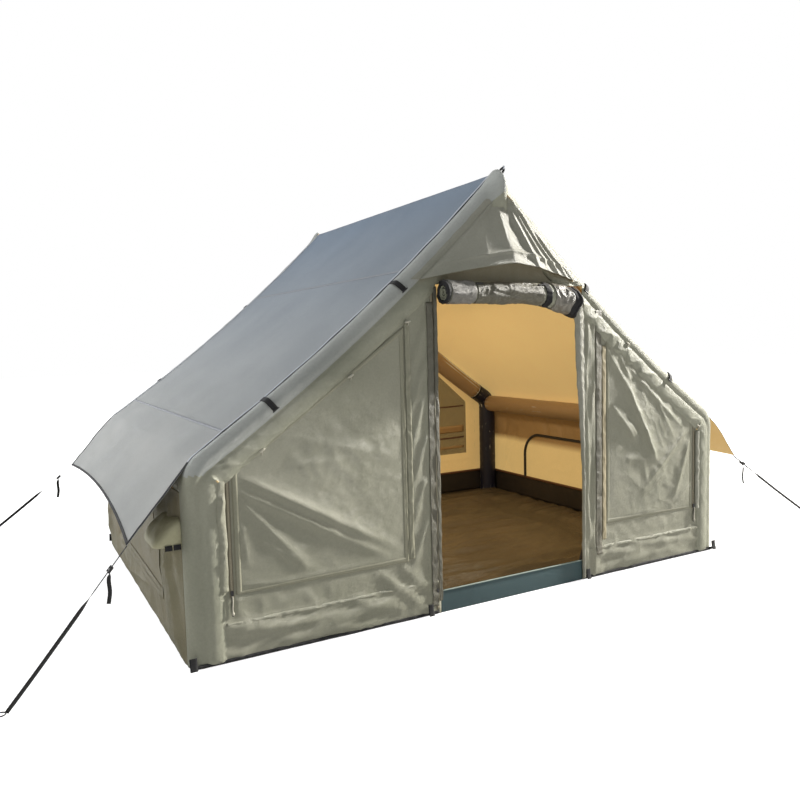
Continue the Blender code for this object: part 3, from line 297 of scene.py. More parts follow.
def zip_material(name, tape, links):
    """Zip tape with a row of moulded teeth down its middle, from its own map."""
    material, tree, shader = start_material(name)
    along, across, _ = split_place(tree, "UV")
    tooth = math_node(tree, "FRACT", math_node(tree, "DIVIDE", along, 0.0032))
    tooth = math_node(tree, "LESS_THAN", tooth, 0.55)
    off = math_node(tree, "ABSOLUTE", math_node(tree, "SUBTRACT", across, 0.5))
    mask = math_node(tree, "MULTIPLY", tooth, math_node(tree, "LESS_THAN", off, 0.24))
    feed(tree, shader, {"Base Color": mix_colours(tree, mask, srgb(*tape), srgb(*links)), "Roughness": 0.45})
    add_bump(tree, shader, mask, 0.8, 0.001)
    return material


def light_through(material, axis, run, shares, shade, lit, strength):
    """Cloth with painted light: painted shade on one part of an axis and a painted glow of the sun shining
    through it on the other.
    """
    tree = material.node_tree
    share = spread(tree, split_place(tree)[axis], *run, *shares)
    colour = mix_colours(tree, share, srgb(*shade), srgb(*lit))
    feed(tree, tree.nodes["Principled BSDF"], {"Emission Color": colour, "Emission Strength": strength})
    return material


def fly_material():
    """The fly with a painted sky reflection: a bluish, darker tint painted near the ridge, fading down the
    roof, none on the awnings.
    """
    material = cloth_material("fly cloth", (150, 151, 148), (162, 162, 158), 0.0008, 0.12, 0.008, 0.62)
    tree = material.node_tree
    shader = tree.nodes["Principled BSDF"]
    faded = shader.inputs["Base Color"].links[0].from_socket
    # Painted sky reflection: the cloth's colour is multiplied by a tint that turns bluish and darker with
    # height.
    upper = spread(tree, split_place(tree)[2], 0.78, 1.95)
    painted_sky_tint = mix_colours(tree, upper, srgb(252, 254, 255), srgb(180, 202, 232))
    feed(tree, shader, {"Base Color": mix_colours(tree, 1.0, faded, painted_sky_tint, "MULTIPLY")})
    return material


khaki = cloth_material("khaki canvas", (134, 134, 116), (148, 147, 130), crumple=0.040, bump=0.007)
khaki_soft = cloth_material("khaki band", (136, 137, 119), (150, 150, 133), crumple=0.026, bump=0.006)
# Painted shade: the olive band's colour is its own olive darkened for the shade under the door hood.
olive_with_painted_shade = cloth_material("olive band with painted shade", (88, 86, 73), (104, 101, 86), crumple=0.02, bump=0.006)
# Painted sky reflection: the grey rim finish is the band's khaki cloth coloured grey-blue as the sky lights
# it.
rim_painted_sky_grey = cloth_material("rim with painted sky reflection", (150, 153, 148), (163, 166, 161), crumple=0.03, bump=0.006)
khaki_pale = cloth_material("khaki hood", (136, 136, 122), (150, 149, 136), crumple=0.04, bump=0.006)
# Painted light: the port cover's khaki is painted lighter than the wall's, standing in for light where the
# awning shades it.
port_khaki_painted_lighter = cloth_material("port khaki painted lighter", (168, 165, 132), (186, 182, 150), crumple=0.04, bump=0.006)
# Painted light: these glows stand in for the sun shining through the cloth, so the hood's underside and the
# inner faces give off light instead of being lit by a lamp.
hood_glow, khaki_glow, roof_glow = ((168, 136, 94), 0.45), ((222, 184, 116), 0.40), ((224, 190, 124), 0.50)
hood_under_painted_glow = cloth_material("hood underside with painted glow", (150, 132, 104), (162, 144, 116), crumple=0.04, glow=hood_glow)
khaki_lit = cloth_material("khaki lit through", (198, 170, 116), (208, 182, 128), glow=khaki_glow)
roof_lit = cloth_material("roof lit through", (204, 176, 120), (216, 188, 132), crumple=0.12, glow=roof_glow)
wall_brown = cloth_material("side cloth", (126, 121, 95), (142, 133, 106), crumple=0.06, bump=0.014)
# Painted shadow: the inner faces of the side walls glow bright below 0.42 m and dark above 0.47 m, where the
# awning shades them.
side_inside_painted_shadow = light_through(
    cloth_material("side cloth inside with painted shadow", (150, 122, 84), (160, 132, 94), crumple=0.06),
    2, (0.42, 0.47), (1.0, 0.0), (96, 68, 34), (250, 212, 134), 0.42,
)
fly_grey = fly_material()
# Painted light: the fly's underside glows warm beyond x 1.52 m, where the sun shines through the right
# awning, and stays dark under the roof.
fly_under_painted_glow = light_through(
    cloth_material("fly underside with painted glow", (104, 98, 86), (116, 110, 96), thread=0.0008),
    0, (1.47, 1.52), (0.0, 1.0), (30, 24, 18), (240, 190, 96), 0.5,
)
floor_brown = cloth_material("floor cloth", (80, 71, 56), (96, 84, 66), thread=0.001, gloss=0.26)
tub_dark = cloth_material("tub side", (44, 40, 38), (52, 47, 44), thread=0.001, gloss=0.4)
sill_teal = cloth_material("sill cloth", (40, 66, 70), (54, 80, 84), thread=0.001, gloss=0.5)
# Painted light: a faint warm glow on the beam sleeves stands in for light from the glowing cloth around
# them.
sleeve_painted_glow = ((150, 110, 66), 0.06)
sleeve_brown = cloth_material(
    "beam sleeve", (146, 120, 88), (158, 132, 98), crumple=0.04, bump=0.006, glow=sleeve_painted_glow
)
sleeve_navy = cloth_material("post sleeve", (16, 19, 40), (24, 27, 50), crumple=0.04)
# Painted shade: both lining colours are their own colours darkened for the shade under the door hood.
coated_lining_in_shade = cloth_material("coated lining with painted shade", (100, 97, 88), (136, 132, 122), crumple=0.014, gloss=0.38)
pale_lining_in_shade = cloth_material("pale lining with painted shade", (112, 110, 104), (146, 144, 138), crumple=0.014, gloss=0.55)
webbing_black = tape_material("black webbing", (13, 13, 14), (34, 34, 34), 0.8)
binding_black = tape_material("black binding", (16, 16, 18), (40, 40, 40), 0.8, 0.005)
tape_khaki = tape_material("khaki tape", (130, 129, 110), (146, 144, 126))
net_bar = tape_material("window bar", (168, 136, 92), (192, 162, 116))
tape_sand = tape_material("sand tape", (146, 136, 108), (172, 164, 138))
tape_sage = tape_material("sage piping", (126, 142, 136), (150, 164, 158))
tape_brown = tape_material("brown piping", (92, 62, 42), (120, 92, 68))
fly_seam = tape_material("fly seam", (124, 128, 134), (160, 163, 168), stitch=0.004)
tape_grey = tape_material("grey hem", (164, 168, 176), (200, 203, 208))
cord_cream = tape_material("cream cord", (176, 172, 156), (206, 202, 186), stitch=0.002)
plastic_black = plastic_material("black plastic", (22, 22, 23))
plastic_valve = plastic_material("valve plastic", (40, 41, 43), 0.5)
film = plastic_material("air film", (196, 200, 198), 0.3)
net = net_material("insect net", (38, 38, 36))
teeth = zip_material("black zip", (24, 24, 25), (62, 60, 56))
teeth_khaki = zip_material("khaki zip", (104, 98, 80), (168, 160, 136))

# Shaping tools


def grid(columns, rows, place, along=1.0, across=1.0, closed=False):
    """A sheet whose points place(u, v) gives, with a map in metres of u and v."""
    sheet = bmesh.new()
    bmesh.ops.create_grid(sheet, x_segments=columns, y_segments=rows, size=0.5)
    chart = sheet.loops.layers.uv.verify()
    for face in sheet.faces:
        for loop in face.loops:
            spot = loop.vert.co
            loop[chart].uv = ((spot.x + 0.5) * along, (spot.y + 0.5) * across)
    for vert in sheet.verts:
        vert.co = place(vert.co.x + 0.5, vert.co.y + 0.5)
    if closed:
        bmesh.ops.remove_doubles(sheet, verts=sheet.verts, dist=cut_snap)
    sheet.normal_update()
    return sheet


def face_towards(sheet, direction, at=None):
    """Turns the sheet so that its face nearest a point, or its largest, looks in a direction."""
    sheet.normal_update()
    if at is None:
        face = max(sheet.faces, key=lambda item: item.calc_area())
    else:
        face = min(sheet.faces, key=lambda item: (item.calc_center_median() - Vector(at)).length)
    if face.normal.dot(Vector(direction)) < 0:
        bmesh.ops.reverse_faces(sheet, faces=sheet.faces)


def cloth_area(sheet):
    return sum(face.calc_area() for face in sheet.faces)


def finish_piece(
    name, mesh, finishes, thickness=0.0, offset=-1.0, replaces=(), body="tent"
):
    """Makes a piece of a bmesh: smooth, with its thickness, its finishes, the second one for the inside, and
    its body; a piece given the two bodies it bends between is left unattached, with its place baked into its
    mesh."""
    for face in mesh.faces:
        face.smooth = True
    data = bpy.data.meshes.new(name)
    mesh.to_mesh(data)
    mesh.free()
    for finish in finishes:
        data.materials.append(finish)
    piece = bpy.data.objects.new(name, data)
    bpy.context.scene.collection.objects.link(piece)
    if thickness:
        shell = piece.modifiers.new("thickness", "SOLIDIFY")
        shell.thickness = thickness
        shell.offset = offset
        shell.use_even_offset = False
        shell.material_offset = 1 if len(finishes) > 1 else 0
        shell.material_offset_rim = 0
    if isinstance(body, str):
        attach(piece, body)
    else:
        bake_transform(piece)
    if replaces:
        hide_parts(*replaces)
    return piece


def add_cloth(
    name, place, cells, size, out, at, finishes, replaces, thickness=thin_cloth, offset=-1.0,
    body="tent", closed=False,
):
    """A piece of cloth whose points place(u, v) gives, with its area."""
    sheet = grid(*cells, place, *size, closed)
    face_towards(sheet, out, at)
    area = cloth_area(sheet)
    return finish_piece(name, sheet, finishes, thickness, offset, replaces, body), area


def cut_along(sheet, point, normal):
    parts = sheet.verts[:] + sheet.edges[:] + sheet.faces[:]
    bmesh.ops.bisect_plane(sheet, geom=parts, plane_co=point, plane_no=normal, dist=cut_snap)


def remove_box(sheet, low, high):
    """Cuts a clean rectangular hole, given by (x, z) corners, in a sheet that faces -Y."""
    for normal, axis in (((1, 0, 0), 0), ((0, 0, 1), 1)):
        for corner in (low, high):
            cut_along(sheet, Vector(normal) * corner[axis], normal)
    inner = []
    for face in sheet.faces:
        middle = face.calc_center_median()
        if low[0] < middle.x < high[0] and low[1] < middle.z < high[1]:
            inner.append(face)
    bmesh.ops.delete(sheet, geom=inner, context="FACES")


def inside_outline(point, shape):
    """Whether an (x, z) point is inside a convex outline."""
    signs = set()
    for first, second in zip(shape, shape[1:] + shape[:1]):
        side = (second[0] - first[0]) * (point.z - first[1])
        side -= (second[1] - first[1]) * (point.x - first[0])
        signs.add(side > 0)
    return len(signs) == 1


def remove_outline(sheet, shape):
    """Cuts a clean hole of a convex (x, z) outline in a sheet that faces -Y."""
    for first, second in zip(shape, shape[1:] + shape[:1]):
        normal = (second[1] - first[1], 0, first[0] - second[0])
        cut_along(sheet, (first[0], 0, first[1]), normal)
    inner = [face for face in sheet.faces if inside_outline(face.calc_center_median(), shape)]
    bmesh.ops.delete(sheet, geom=inner, context="FACES")


def shares(steps):
    """Even shares from 0 to 1."""
    return [step / steps for step in range(steps + 1)]


def smooth_share(value, low, high):
    share = min(max((value - low) / (high - low), 0.0), 1.0)
    return share * share * (3 - 2 * share)


def outline_distance(x, z, shape):
    """How far an (x, z) place lies outside a convex outline, less than nothing inside it."""
    point = Vector((x, z))
    nearest = inf
    for first, second in zip(shape, shape[1:] + shape[:1]):
        start, end = Vector(first), Vector(second)
        run = end - start
        share = min(max((point - start).dot(run) / run.length_squared, 0.0), 1.0)
        nearest = min(nearest, (start + run * share - point).length)
    return -nearest if inside_outline(Vector((x, 0, z)), shape) else nearest


def ridge_line(distance, width):
    """The height share of a seam or a rounded fold at a distance from its line."""
    return exp(-((distance / width) ** 2))


def crease(distance, width, crest=0.004):
    """The height share of a crisp fold at a distance from its line."""
    return exp(-(hypot(distance, crest) - crest) / width)


def streak(x, z, first, second, width, start_fade, end_fade):
    """The height share of a fold that runs from one (x, z) place to another."""
    run_x, run_z = second[0] - first[0], second[1] - first[1]
    length = hypot(run_x, run_z)
    share = ((x - first[0]) * run_x + (z - first[1]) * run_z) / length**2
    if share < -0.3 or share > 1.3:
        return 0.0
    off = abs((x - first[0]) * run_z - (z - first[1]) * run_x) / length
    if off > 5 * width:
        return 0.0
    spread_width = width * (1 + 0.5 * min(max(share, 0.0), 1.0))
    fade = smooth_share(share, -0.15, start_fade) * (1 - smooth_share(share, 1 - end_fade, 1.25))
    return crease(off, spread_width) * fade


def fold_height(folds, x, z, gain=1.0, start_fade=0.12, end_fade=0.35):
    """How far a list of folds lifts the cloth at a place; each has its ends, height and width."""
    out = 0.0
    for first, second, height, width in folds:
        out += gain * height * streak(x, z, first, second, width, start_fade, end_fade)
    return out


def wave(x, z, size, seed=0.0, stretch=1.0, turn=0.0):
    """Soft noise from -1 to 1, drawn out along one direction."""
    along = x * cos(turn) + z * sin(turn)
    across = z * cos(turn) - x * sin(turn)
    return noise.noise(Vector((along / (size * stretch), across / size, seed)))


def crumple(x, z, size, seed=0.0, stretch=1.0, turn=0.0):
    """Ridged noise from 0 to 1, drawn out along one direction."""
    return 1 - min(abs(wave(x, z, size, seed, stretch, turn)) * 2.2, 1.0)


# The gable's outline

eave_height = 0.774
rafter_slope = atan2(ridge_height - eave_height, half_width)
eave_turn = pi / 2 - rafter_slope
roof_share = 0.688
arc_share = 0.056
eave_centre = Vector((half_width - eave_round, post_height))
eave_end = eave_centre + eave_round * Vector((cos(eave_turn), sin(eave_turn)))
line_steps = 240


def rim_frame(u):
    """The gable's outline as (x, z) with its outward normal, u from -1, left foot, to 1, right foot."""
    sign = -1 if u < 0 else 1
    share = abs(u)
    if share <= roof_share:
        t = 1 - share / roof_share
        chord = Vector((0, ridge_height)) - eave_end
        along = chord.normalized()
        out = Vector((along.y, -along.x))
        point = eave_end + chord * t - out * 4 * rafter_sag * t * (1 - t)
        turn = 4 * rafter_sag * (1 - 2 * t) / chord.length
        normal = (out + along * turn).normalized()
    elif share <= roof_share + arc_share:
        t = (share - roof_share) / arc_share
        normal = Vector((cos(eave_turn * (1 - t)), sin(eave_turn * (1 - t))))
        point = eave_centre + eave_round * normal
    else:
        t = (share - roof_share - arc_share) / (1 - roof_share - arc_share)
        normal = Vector((1, 0))
        point = Vector((half_width, post_height * (1 - t)))
    return Vector((sign * point.x, point.y)), Vector((sign * normal.x, normal.y)), sign


def rim_point(u, inset):
    """A point of the outline moved inwards, mitred at the ridge."""
    point, normal, sign = rim_frame(u)
    moved = point - normal * inset
    if abs(u) < roof_share:
        t = 1 - abs(u) / roof_share
        slide = t * inset * abs(normal.x) / normal.y
        moved += Vector((sign * normal.y, -abs(normal.x))) * slide
    return moved


def outline_at(inset):
    return [rim_point(share, inset) for share in shares(line_steps)]


def width_at(line, z):
    """How far from the ridge an outline is at a height."""
    for first, second in zip(line, line[1:]):
        if second.y <= z <= first.y and first.y > second.y:
            return first.x + (second.x - first.x) * (first.y - z) / (first.y - second.y)
    return line[0].x if z > line[0].y else line[-1].x


def depth_at(line, x):
    """The height of an outline at a distance from the ridge."""
    for first, second in zip(line, line[1:]):
        if first.x <= x <= second.x and second.x > first.x:
            return first.y + (second.y - first.y) * (x - first.x) / (second.x - first.x)
    return 0.0


# Rolled bands round the two gables

band_inset = 0.148
rim_foot = 0.76
band_columns = 420
band_rows = 22
band_roll_share = 0.45
peak_forward = 0.046
peak_rise = 0.010
bunched_spots = (0.19, 0.60)


def band_pucker(u, v, side):
    """How far the band puffs and puckers off its arch."""
    sign = -1 if u < 0 else 1
    flat = max(v - band_roll_share, 0.0) / (1 - band_roll_share)
    puff = 0.010 * sin(pi * flat) ** 0.7
    along = u * 2.71
    near_seam = 0.35 + 0.65 * flat
    depth = 0.0022
    if side < 0:
        if u > 0:
            depth = 0.0130 if u < 0.52 else 0.004
        for share in bunched_spots:
            depth += 0.006 * ridge_line(abs(u) - share * 1.1, 0.03)
    lean = 2.4 * v * sign
    beat = along * 8.5 + lean + 0.6 * noise.noise(Vector((along * 3, 0, 7)))
    pleats = crease(abs(sin(beat * pi)) * 0.10, 0.025, 0.006)
    rough = crumple(along, v * 0.16, 0.09, 3.0 + side, 0.6)
    fold = depth * near_seam * (0.7 * pleats + 0.5 * rough)
    return puff + fold - 0.0035 * ridge_line(v - 0.93, 0.03)


def band_place(u, v, side):
    share = 2 * u - 1
    roof = 1 - smooth_share(abs(share), roof_share - 0.02, roof_share + 0.08)
    peak = ridge_line(share, 0.022)
    if v < band_roll_share:
        angle = pi / 2 * v / band_roll_share
        puff = (0.004 + 0.010 * roof) * sin(pi * v / band_roll_share) ** 0.7
        puff += 0.0016 * roof * wave(share * 5, v, 0.12, 151.0 + side)
        inset = rim_round - (rim_round + puff) * cos(angle) - peak * peak_rise
        y = side_half_depth + (rim_round + puff) * sin(angle) + peak_forward * peak * sin(angle)
        normal_in, normal_y = cos(angle), sin(angle)
    else:
        flat = (v - band_roll_share) / (1 - band_roll_share)
        inset = rim_round + flat * (band_inset - rim_round)
        y = half_depth + peak_forward * peak * (1 - flat)
        normal_in, normal_y = 0.0, 1.0
    out = band_pucker(share, v, side) * smooth_share(v, 0.02, 0.2) * (1 - smooth_share(v, 0.95, 1.0))
    out *= 1 - 0.75 * roof * (1 - smooth_share(v, band_roll_share - 0.06, band_roll_share + 0.08))
    inset -= out * normal_in * 0.4
    if abs(share) > 0.999:
        out = 0.0
    point = rim_point(share, inset)
    return Vector((point.x, side * (y + out * normal_y + 0.0006), max(point.y, 0.0)))


def add_band(end, side, cuts, replaces):
    sheet = grid(band_columns, band_rows, lambda u, v: band_place(u, v, side), 5.4, 0.2)
    for low, high in cuts:
        remove_box(sheet, low, high)
    face_towards(sheet, (0, side, 0), (1.4, side * 1.1, 0.4))
    chart = sheet.loops.layers.uv.active
    for face in sheet.faces:
        across = sum(loop[chart].uv.y for loop in face.loops) / len(face.loops)
        middle = face.calc_center_median()
        # Painted sky reflection: the outer roll of the band above rim_foot takes the grey finish on the left
        # half only, the side facing the sky.
        if across < 0.2 * band_roll_share and middle.z > rim_foot and middle.x < 0.012:
            face.material_index = 2
    area = cloth_area(sheet)
    finishes = [khaki_soft, khaki_lit, rim_painted_sky_grey, khaki_lit]
    band = finish_piece(f"{end}_band", sheet, finishes, thin_cloth, replaces=replaces)


add_band("front", -1, [((door_left, -0.2), (door_right, door_height))], ["front_rim"])

# Flat walls between the bands

left_hip_folds = (
    ((-1.286, 0.700), (-1.349, 0.631), 0.008, 0.008),
    ((-1.347, 0.671), (-1.370, 0.560), 0.010, 0.008),
    ((-1.319, 0.627), (-1.339, 0.406), 0.010, 0.008),
    ((-1.290, 0.630), (-1.315, 0.258), 0.010, 0.008),
)
door_strip_folds = (
    ((-0.420, 1.306), (-0.496, 1.111), 0.007, 0.010),
    ((-0.416, 1.157), (-0.498, 0.938), 0.008, 0.010),
    ((-0.431, 0.996), (-0.499, 0.763), 0.007, 0.010),
    ((-0.418, 0.830), (-0.495, 0.600), 0.007, 0.010),
    ((-0.425, 0.640), (-0.500, 0.420), 0.006, 0.010),
    ((-0.420, 0.450), (-0.495, 0.250), 0.006, 0.010),
    ((0.535, 1.330), (0.525, 0.900), 0.009, 0.010),
    ((0.555, 1.250), (0.560, 0.700), 0.007, 0.010),
    ((0.525, 0.860), (0.545, 0.450), 0.007, 0.010),
    ((0.530, 0.420), (0.550, 0.180), 0.008, 0.010),
    ((0.640, 1.371), (0.730, 1.304), 0.007, 0.010),
)
skirt_folds = (
    ((-1.350, 0.139), (-1.095, 0.116), 0.009, 0.010),
    ((-1.309, 0.110), (-0.866, 0.096), 0.010, 0.010),
    ((-0.985, 0.059), (-0.514, 0.122), 0.009, 0.010),
    ((-0.804, 0.150), (-0.490, 0.035), 0.008, 0.012),
    ((-0.678, 0.245), (-0.437, 0.036), 0.009, 0.010),
    ((-0.560, 0.250), (-0.420, 0.120), 0.007, 0.010),
    ((-1.098, 0.041), (-0.622, 0.020), 0.007, 0.010),
    ((0.600, 0.120), (0.900, 0.090), 0.008, 0.010),
    ((0.860, 0.130), (1.240, 0.105), 0.008, 0.010),
    ((0.700, 0.045), (1.120, 0.060), 0.007, 0.010),
)
front_folds = left_hip_folds + door_strip_folds + skirt_folds
skirt_seam = 0.150
window_zip_x = 1.328
wall_tuck = 0.085


def clear_of_flaps(x, z):
    """1 on the open wall, 0 under a flap."""
    free = 1.0
    for shape in flap_outlines.values():
        free = min(free, smooth_share(outline_distance(x, z, shape), 0.0, 0.03))
    return free


def front_relief(x, z):
    """How far the front wall stands out at a place: folds and crumples clear of the flaps."""
    out = fold_height(front_folds, x, z)
    skirt = 1 - smooth_share(z, 0.10, 0.16)
    out += skirt * 0.005 * crumple(x, z, 0.07, 5.0, 4.0, 0.12)
    if x > 0:
        strip = 1 - smooth_share(x, 0.60, 0.66)
        out += strip * 0.005 * crumple(x, z, 0.050, 7.0, 5.0, 1.5)
    out += 0.004 * crease(x + 0.412, 0.006)
    out += 0.006 * crease(x - 0.578, 0.006)
    out += 0.0045 * ridge_line(z - skirt_seam, 0.010)
    out += 0.0025 * crumple(x, z, 0.10, 9.0, 1.0)
    free = clear_of_flaps(x, z)
    zip_zone = max(abs(abs(x) - window_zip_x) - 0.010, abs(z - 0.48) - 0.31)
    free *= smooth_share(zip_zone, 0.0, 0.012)
    hem = min(abs(x - door_left), abs(x - door_right)) if z < door_height else 1.0
    return out * free * (0.35 + 0.65 * smooth_share(hem, 0.0, 0.02)) * smooth_share(z, -0.01, 0.03)


def rear_relief(x, z):
    skirt = 1 - smooth_share(z, 0.10, 0.16)
    out = skirt * 0.006 * crumple(x, z, 0.06, 15.0, 2.2) + 0.0030 * crumple(x, z, 0.12, 19.0)
    out += 0.0045 * ridge_line(z - skirt_seam, 0.010)
    out += 0.003 * crease(abs(x), 0.012)
    return out * clear_of_flaps(x, z) * smooth_share(z, -0.01, 0.03)


def add_gable_wall(name, side, reach, foot, columns, relief, holes, replaces):
    """Flat cloth of a gable, tucked under its band, with its windows cut out."""
    line = outline_at(wall_tuck)
    first_x = max(reach[0], -line[-1].x)
    last_x = min(reach[1], line[-1].x)

    def place(u, v):
        x = first_x + (last_x - first_x) * u
        z = foot + (max(depth_at(line, abs(x)), foot + 0.004) - foot) * v
        return Vector((x, side * (half_depth + relief(x, z) + 0.0001), z))

    rows = round(columns * 0.62) if foot == 0 else 30
    sheet = grid(columns, rows, place, last_x - first_x, 1.9)
    for hole in holes:
        remove_outline(sheet, hole)
    face_towards(sheet, (0, side, 0), ((first_x + last_x) / 2, side * 1.1, foot + 0.02))
    area = cloth_area(sheet)
    wall = finish_piece(name, sheet, [khaki, khaki_lit], folded_cloth, replaces=[replaces])
    top = max(depth_at(line, abs(x)) for x in (first_x, last_x, 0.0) if first_x <= x <= last_x)


holes = [window_outlines["left"], window_outlines["right"]]
for name, reach, foot, columns, cut, node in (
    ("front_cloth_left", (-2, door_left), 0, 110, holes[:1], "front_wall_left"),
    ("front_cloth_right", (door_right, 2), 0, 110, holes[1:], "front_wall_right"),
    ("front_cloth_head", (door_left, door_right), door_height, 60, [], "front_wall_head"),
):
    add_gable_wall(name, -1, reach, foot, columns, front_relief, cut, node)
add_band("rear", 1, [], ["rear_wall"])
add_gable_wall("rear_cloth", 1, (-2, 2), 0, 220, rear_relief, holes, "rear_wall")

# Strips, tubes and cords


def over(surface, us, vs, lift, along_u=True):
    """A strip laid on a surface between two shares each way, pressed down at its edges."""

    def place(u, v):
        first, second = (u, v) if along_u else (v, u)
        su = us[0] + (us[1] - us[0]) * first
        sv = vs[0] + (vs[1] - vs[0]) * second
        step = 0.002
        run = surface(min(su + step, 1), sv) - surface(max(su - step, 0), sv)
        cross = surface(su, min(sv + step, 1)) - surface(su, max(sv - step, 0))
        normal = run.cross(cross).normalized()
        return surface(su, sv) + normal * lift * (1 - 0.6 * abs(2 * v - 1) ** 6)

    return place


def add_strip(
    name, place, columns, finish, length, out, thickness=0.0012, rows=4, at=None,
    body="tent",
):
    sheet = grid(columns, rows, place, length, 1.0)
    face_towards(sheet, out, at)
    return finish_piece(name, sheet, [finish], thickness, 1.0, body=body)


def frames_along(points):
    """Tangents and steady side directions along a path."""
    tangents = []
    for index in range(len(points)):
        back, ahead = points[max(index - 1, 0)], points[min(index + 1, len(points) - 1)]
        tangents.append((ahead - back).normalized())
    side = tangents[0].orthogonal().normalized()
    sides = []
    for tangent in tangents:
        side = (side - tangent * side.dot(tangent)).normalized()
        sides.append(side)
    return tangents, sides


def run_along(points, sides, section, across=1.0):
    """A run with closed ends along a path; section(index, angle) leads from its centre to its skin."""
    last = len(points) - 1

    def place(u, v):
        index = round(u * (last + 2)) - 1
        centre = points[min(max(index, 0), last)]
        if index < 0 or index > last:
            return centre.copy()
        return centre + section(index, 2 * pi * v)

    length = sum((b - a).length for a, b in zip(points, points[1:]))
    shape = grid(last + 2, sides, place, length, across, closed=True)
    bmesh.ops.recalc_face_normals(shape, faces=shape.faces)
    return shape


def tube(points, radius, sides, across=1.0):
    """A tube along a path; its radius may change along and round it."""
    tangents, normals = frames_along(points)

    def section(index, angle):
        size = radius(index / (len(points) - 1), angle) if callable(radius) else radius
        side = normals[index]
        return size * (side * cos(angle) + tangents[index].cross(side) * sin(angle))

    return run_along(points, sides, section, across)


def add_tube(name, points, radius, finish, sides=10, body="tent"):
    return finish_piece(name, tube(points, radius, sides), [finish], body=body)


def smooth_path(points, steps):
    """An even curve through a few points."""
    spots = [2 * points[0] - points[1]] + list(points) + [2 * points[-1] - points[-2]]
    path = []
    for step in range(steps + 1):
        place = step / steps * (len(points) - 1)
        index = min(int(place), len(points) - 2)
        t = place - index
        a, b, c, d = spots[index : index + 4]
        pull, bend = 2 * a - 5 * b + 4 * c - d, 3 * b - a - 3 * c + d
        path.append(0.5 * (2 * b + (c - a) * t + pull * t**2 + bend * t**3))
    return path


# Guy webbings with their ladder locks

guy_depths = (1.0715, 1.0735, 1.08, 1.09, 1.1)
guy_heights = (0.5229, 0.38671, 0.25309, 0.12366, 0.0085)
rear_reach = (1.705, 1.88128, 2.05417, 2.2257, 2.383)
guys = {
    "front_left": (-1, -1, (1.705, 1.81628, 1.92542, 2.0337, 2.133), 0.670),
    "front_right": (1, -1, (1.705, 1.91898, 2.12885, 2.33706, 2.528), 0.971),
    "rear_left": (-1, 1, rear_reach, 0.852),
    "rear_right": (1, 1, rear_reach, 0.852),
}
webbing_width = 0.015
webbing_cloth = 0.0016
webbing_flat = 0.19
lock_run = 0.10
tail_hang = ((0, 0, -0.006), (0.006, 0, -0.040), (0.004, 0.002, -0.085), (0.011, 0.0, -0.128))


def webbing(points, twist):
    """A flat band along a path, its width along Y at first and turned a quarter over a stretch."""
    tangents, _ = frames_along(points)
    lengths = [0.0]
    for first, second in zip(points, points[1:]):
        lengths.append(lengths[-1] + (second - first).length)

    def section(index, angle):
        tangent = tangents[index]
        wide = Vector(rear)
        wide = (wide - tangent * wide.dot(tangent)).normalized()
        wide = Matrix.Rotation(pi / 2 * smooth_share(lengths[index], *twist), 3, tangent) @ wide
        thin = tangent.cross(wide)
        return wide * webbing_width / 2 * cos(angle) + thin * webbing_cloth / 2 * sin(angle)

    return run_along(points, 12, section)


def ring_points(centre, first, second, size, steps=28):
    angles = [2 * pi * t for t in shares(steps)]
    return [Vector(centre) + size * (first * cos(angle) + second * sin(angle)) for angle in angles]


for corner, (sign, side, reach, length) in guys.items():
    spots = [(sign * x, side * y, z) for x, y, z in zip(reach, guy_depths, guy_heights)]
    points = smooth_path([Vector(spot) for spot in spots], 76)
    turned = webbing(points, (webbing_flat, webbing_flat + 0.10))
    guy = finish_piece(
        f"{corner}_guy", turned, [webbing_black], replaces=[f"guy_{corner}"]
    )
    away = (points[-1] - points[-3]).normalized()
    flat_away = Vector((away.x, away.y, 0)).normalized()
    across = Vector((-flat_away.y, flat_away.x, 0))
    hook = ring_points(points[-1] + flat_away * 0.018, flat_away, across, 0.016)
    ring = add_tube(f"{corner}_ground_ring", hook, 0.0028, plastic_black)
    lock_spot = points[0].lerp(points[-1], lock_run / length)
    tail_path = smooth_path([lock_spot + Vector((sign * x, y, z)) for x, y, z in tail_hang], 24)
    tail = finish_piece(
        f"{corner}_tail", webbing(tail_path, (0.0, 0.03)), [webbing_black],
        body=f"{corner}_lock",
    )
    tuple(spots[0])

# Fly sheet and its awnings

fly_half_depth = 1.08
fly_lift = 0.0022
fly_setback = 0.042
awning_corner = Vector((1.705, 0.5245))
awning_hollow = 0.05
fly_root_share = 0.6988
fly_roof_share = 0.835
fly_seams = tuple(seam * fly_roof_share / fly_root_share for seam in (0.245, 0.632))
roof_middle = (0.2, 0, 1.8)


def fly_relief(share, y, awning):
    """How far the fly lifts off its line: seams, soft waves and folds at its corners."""
    along = share * 2.25
    out = 0.0016 * (0.5 + 0.5 * wave(along, y, 0.35, 21.0, 2.4, 1.2))
    out += 0.0010 * (0.5 + 0.5 * wave(along, y, 0.12, 23.0, 3.0, 1.0))
    for seam in fly_seams:
        out += 0.0022 * ridge_line(abs(share) - seam, 0.004)
    edge = smooth_share(abs(y), 0.88, 1.03)
    out += 0.0020 * edge * (0.5 + 0.5 * sin(along * 22))
    if awning > 0:
        pull = abs(y) / fly_half_depth
        out += 0.005 * awning * sin(awning * pi) * crumple(awning, y, 0.3, 27.0, 1.0)
        out += 0.010 * awning * (1 - awning) * cos(14 * (pull - awning * 0.3)) * pull**4
    return out


def fly_depth(share):
    """Half the fly's depth: short of the rims over the roof, full at the awning corners."""
    return fly_half_depth - fly_setback * (1 - smooth_share(abs(share), 0.78, 0.90))


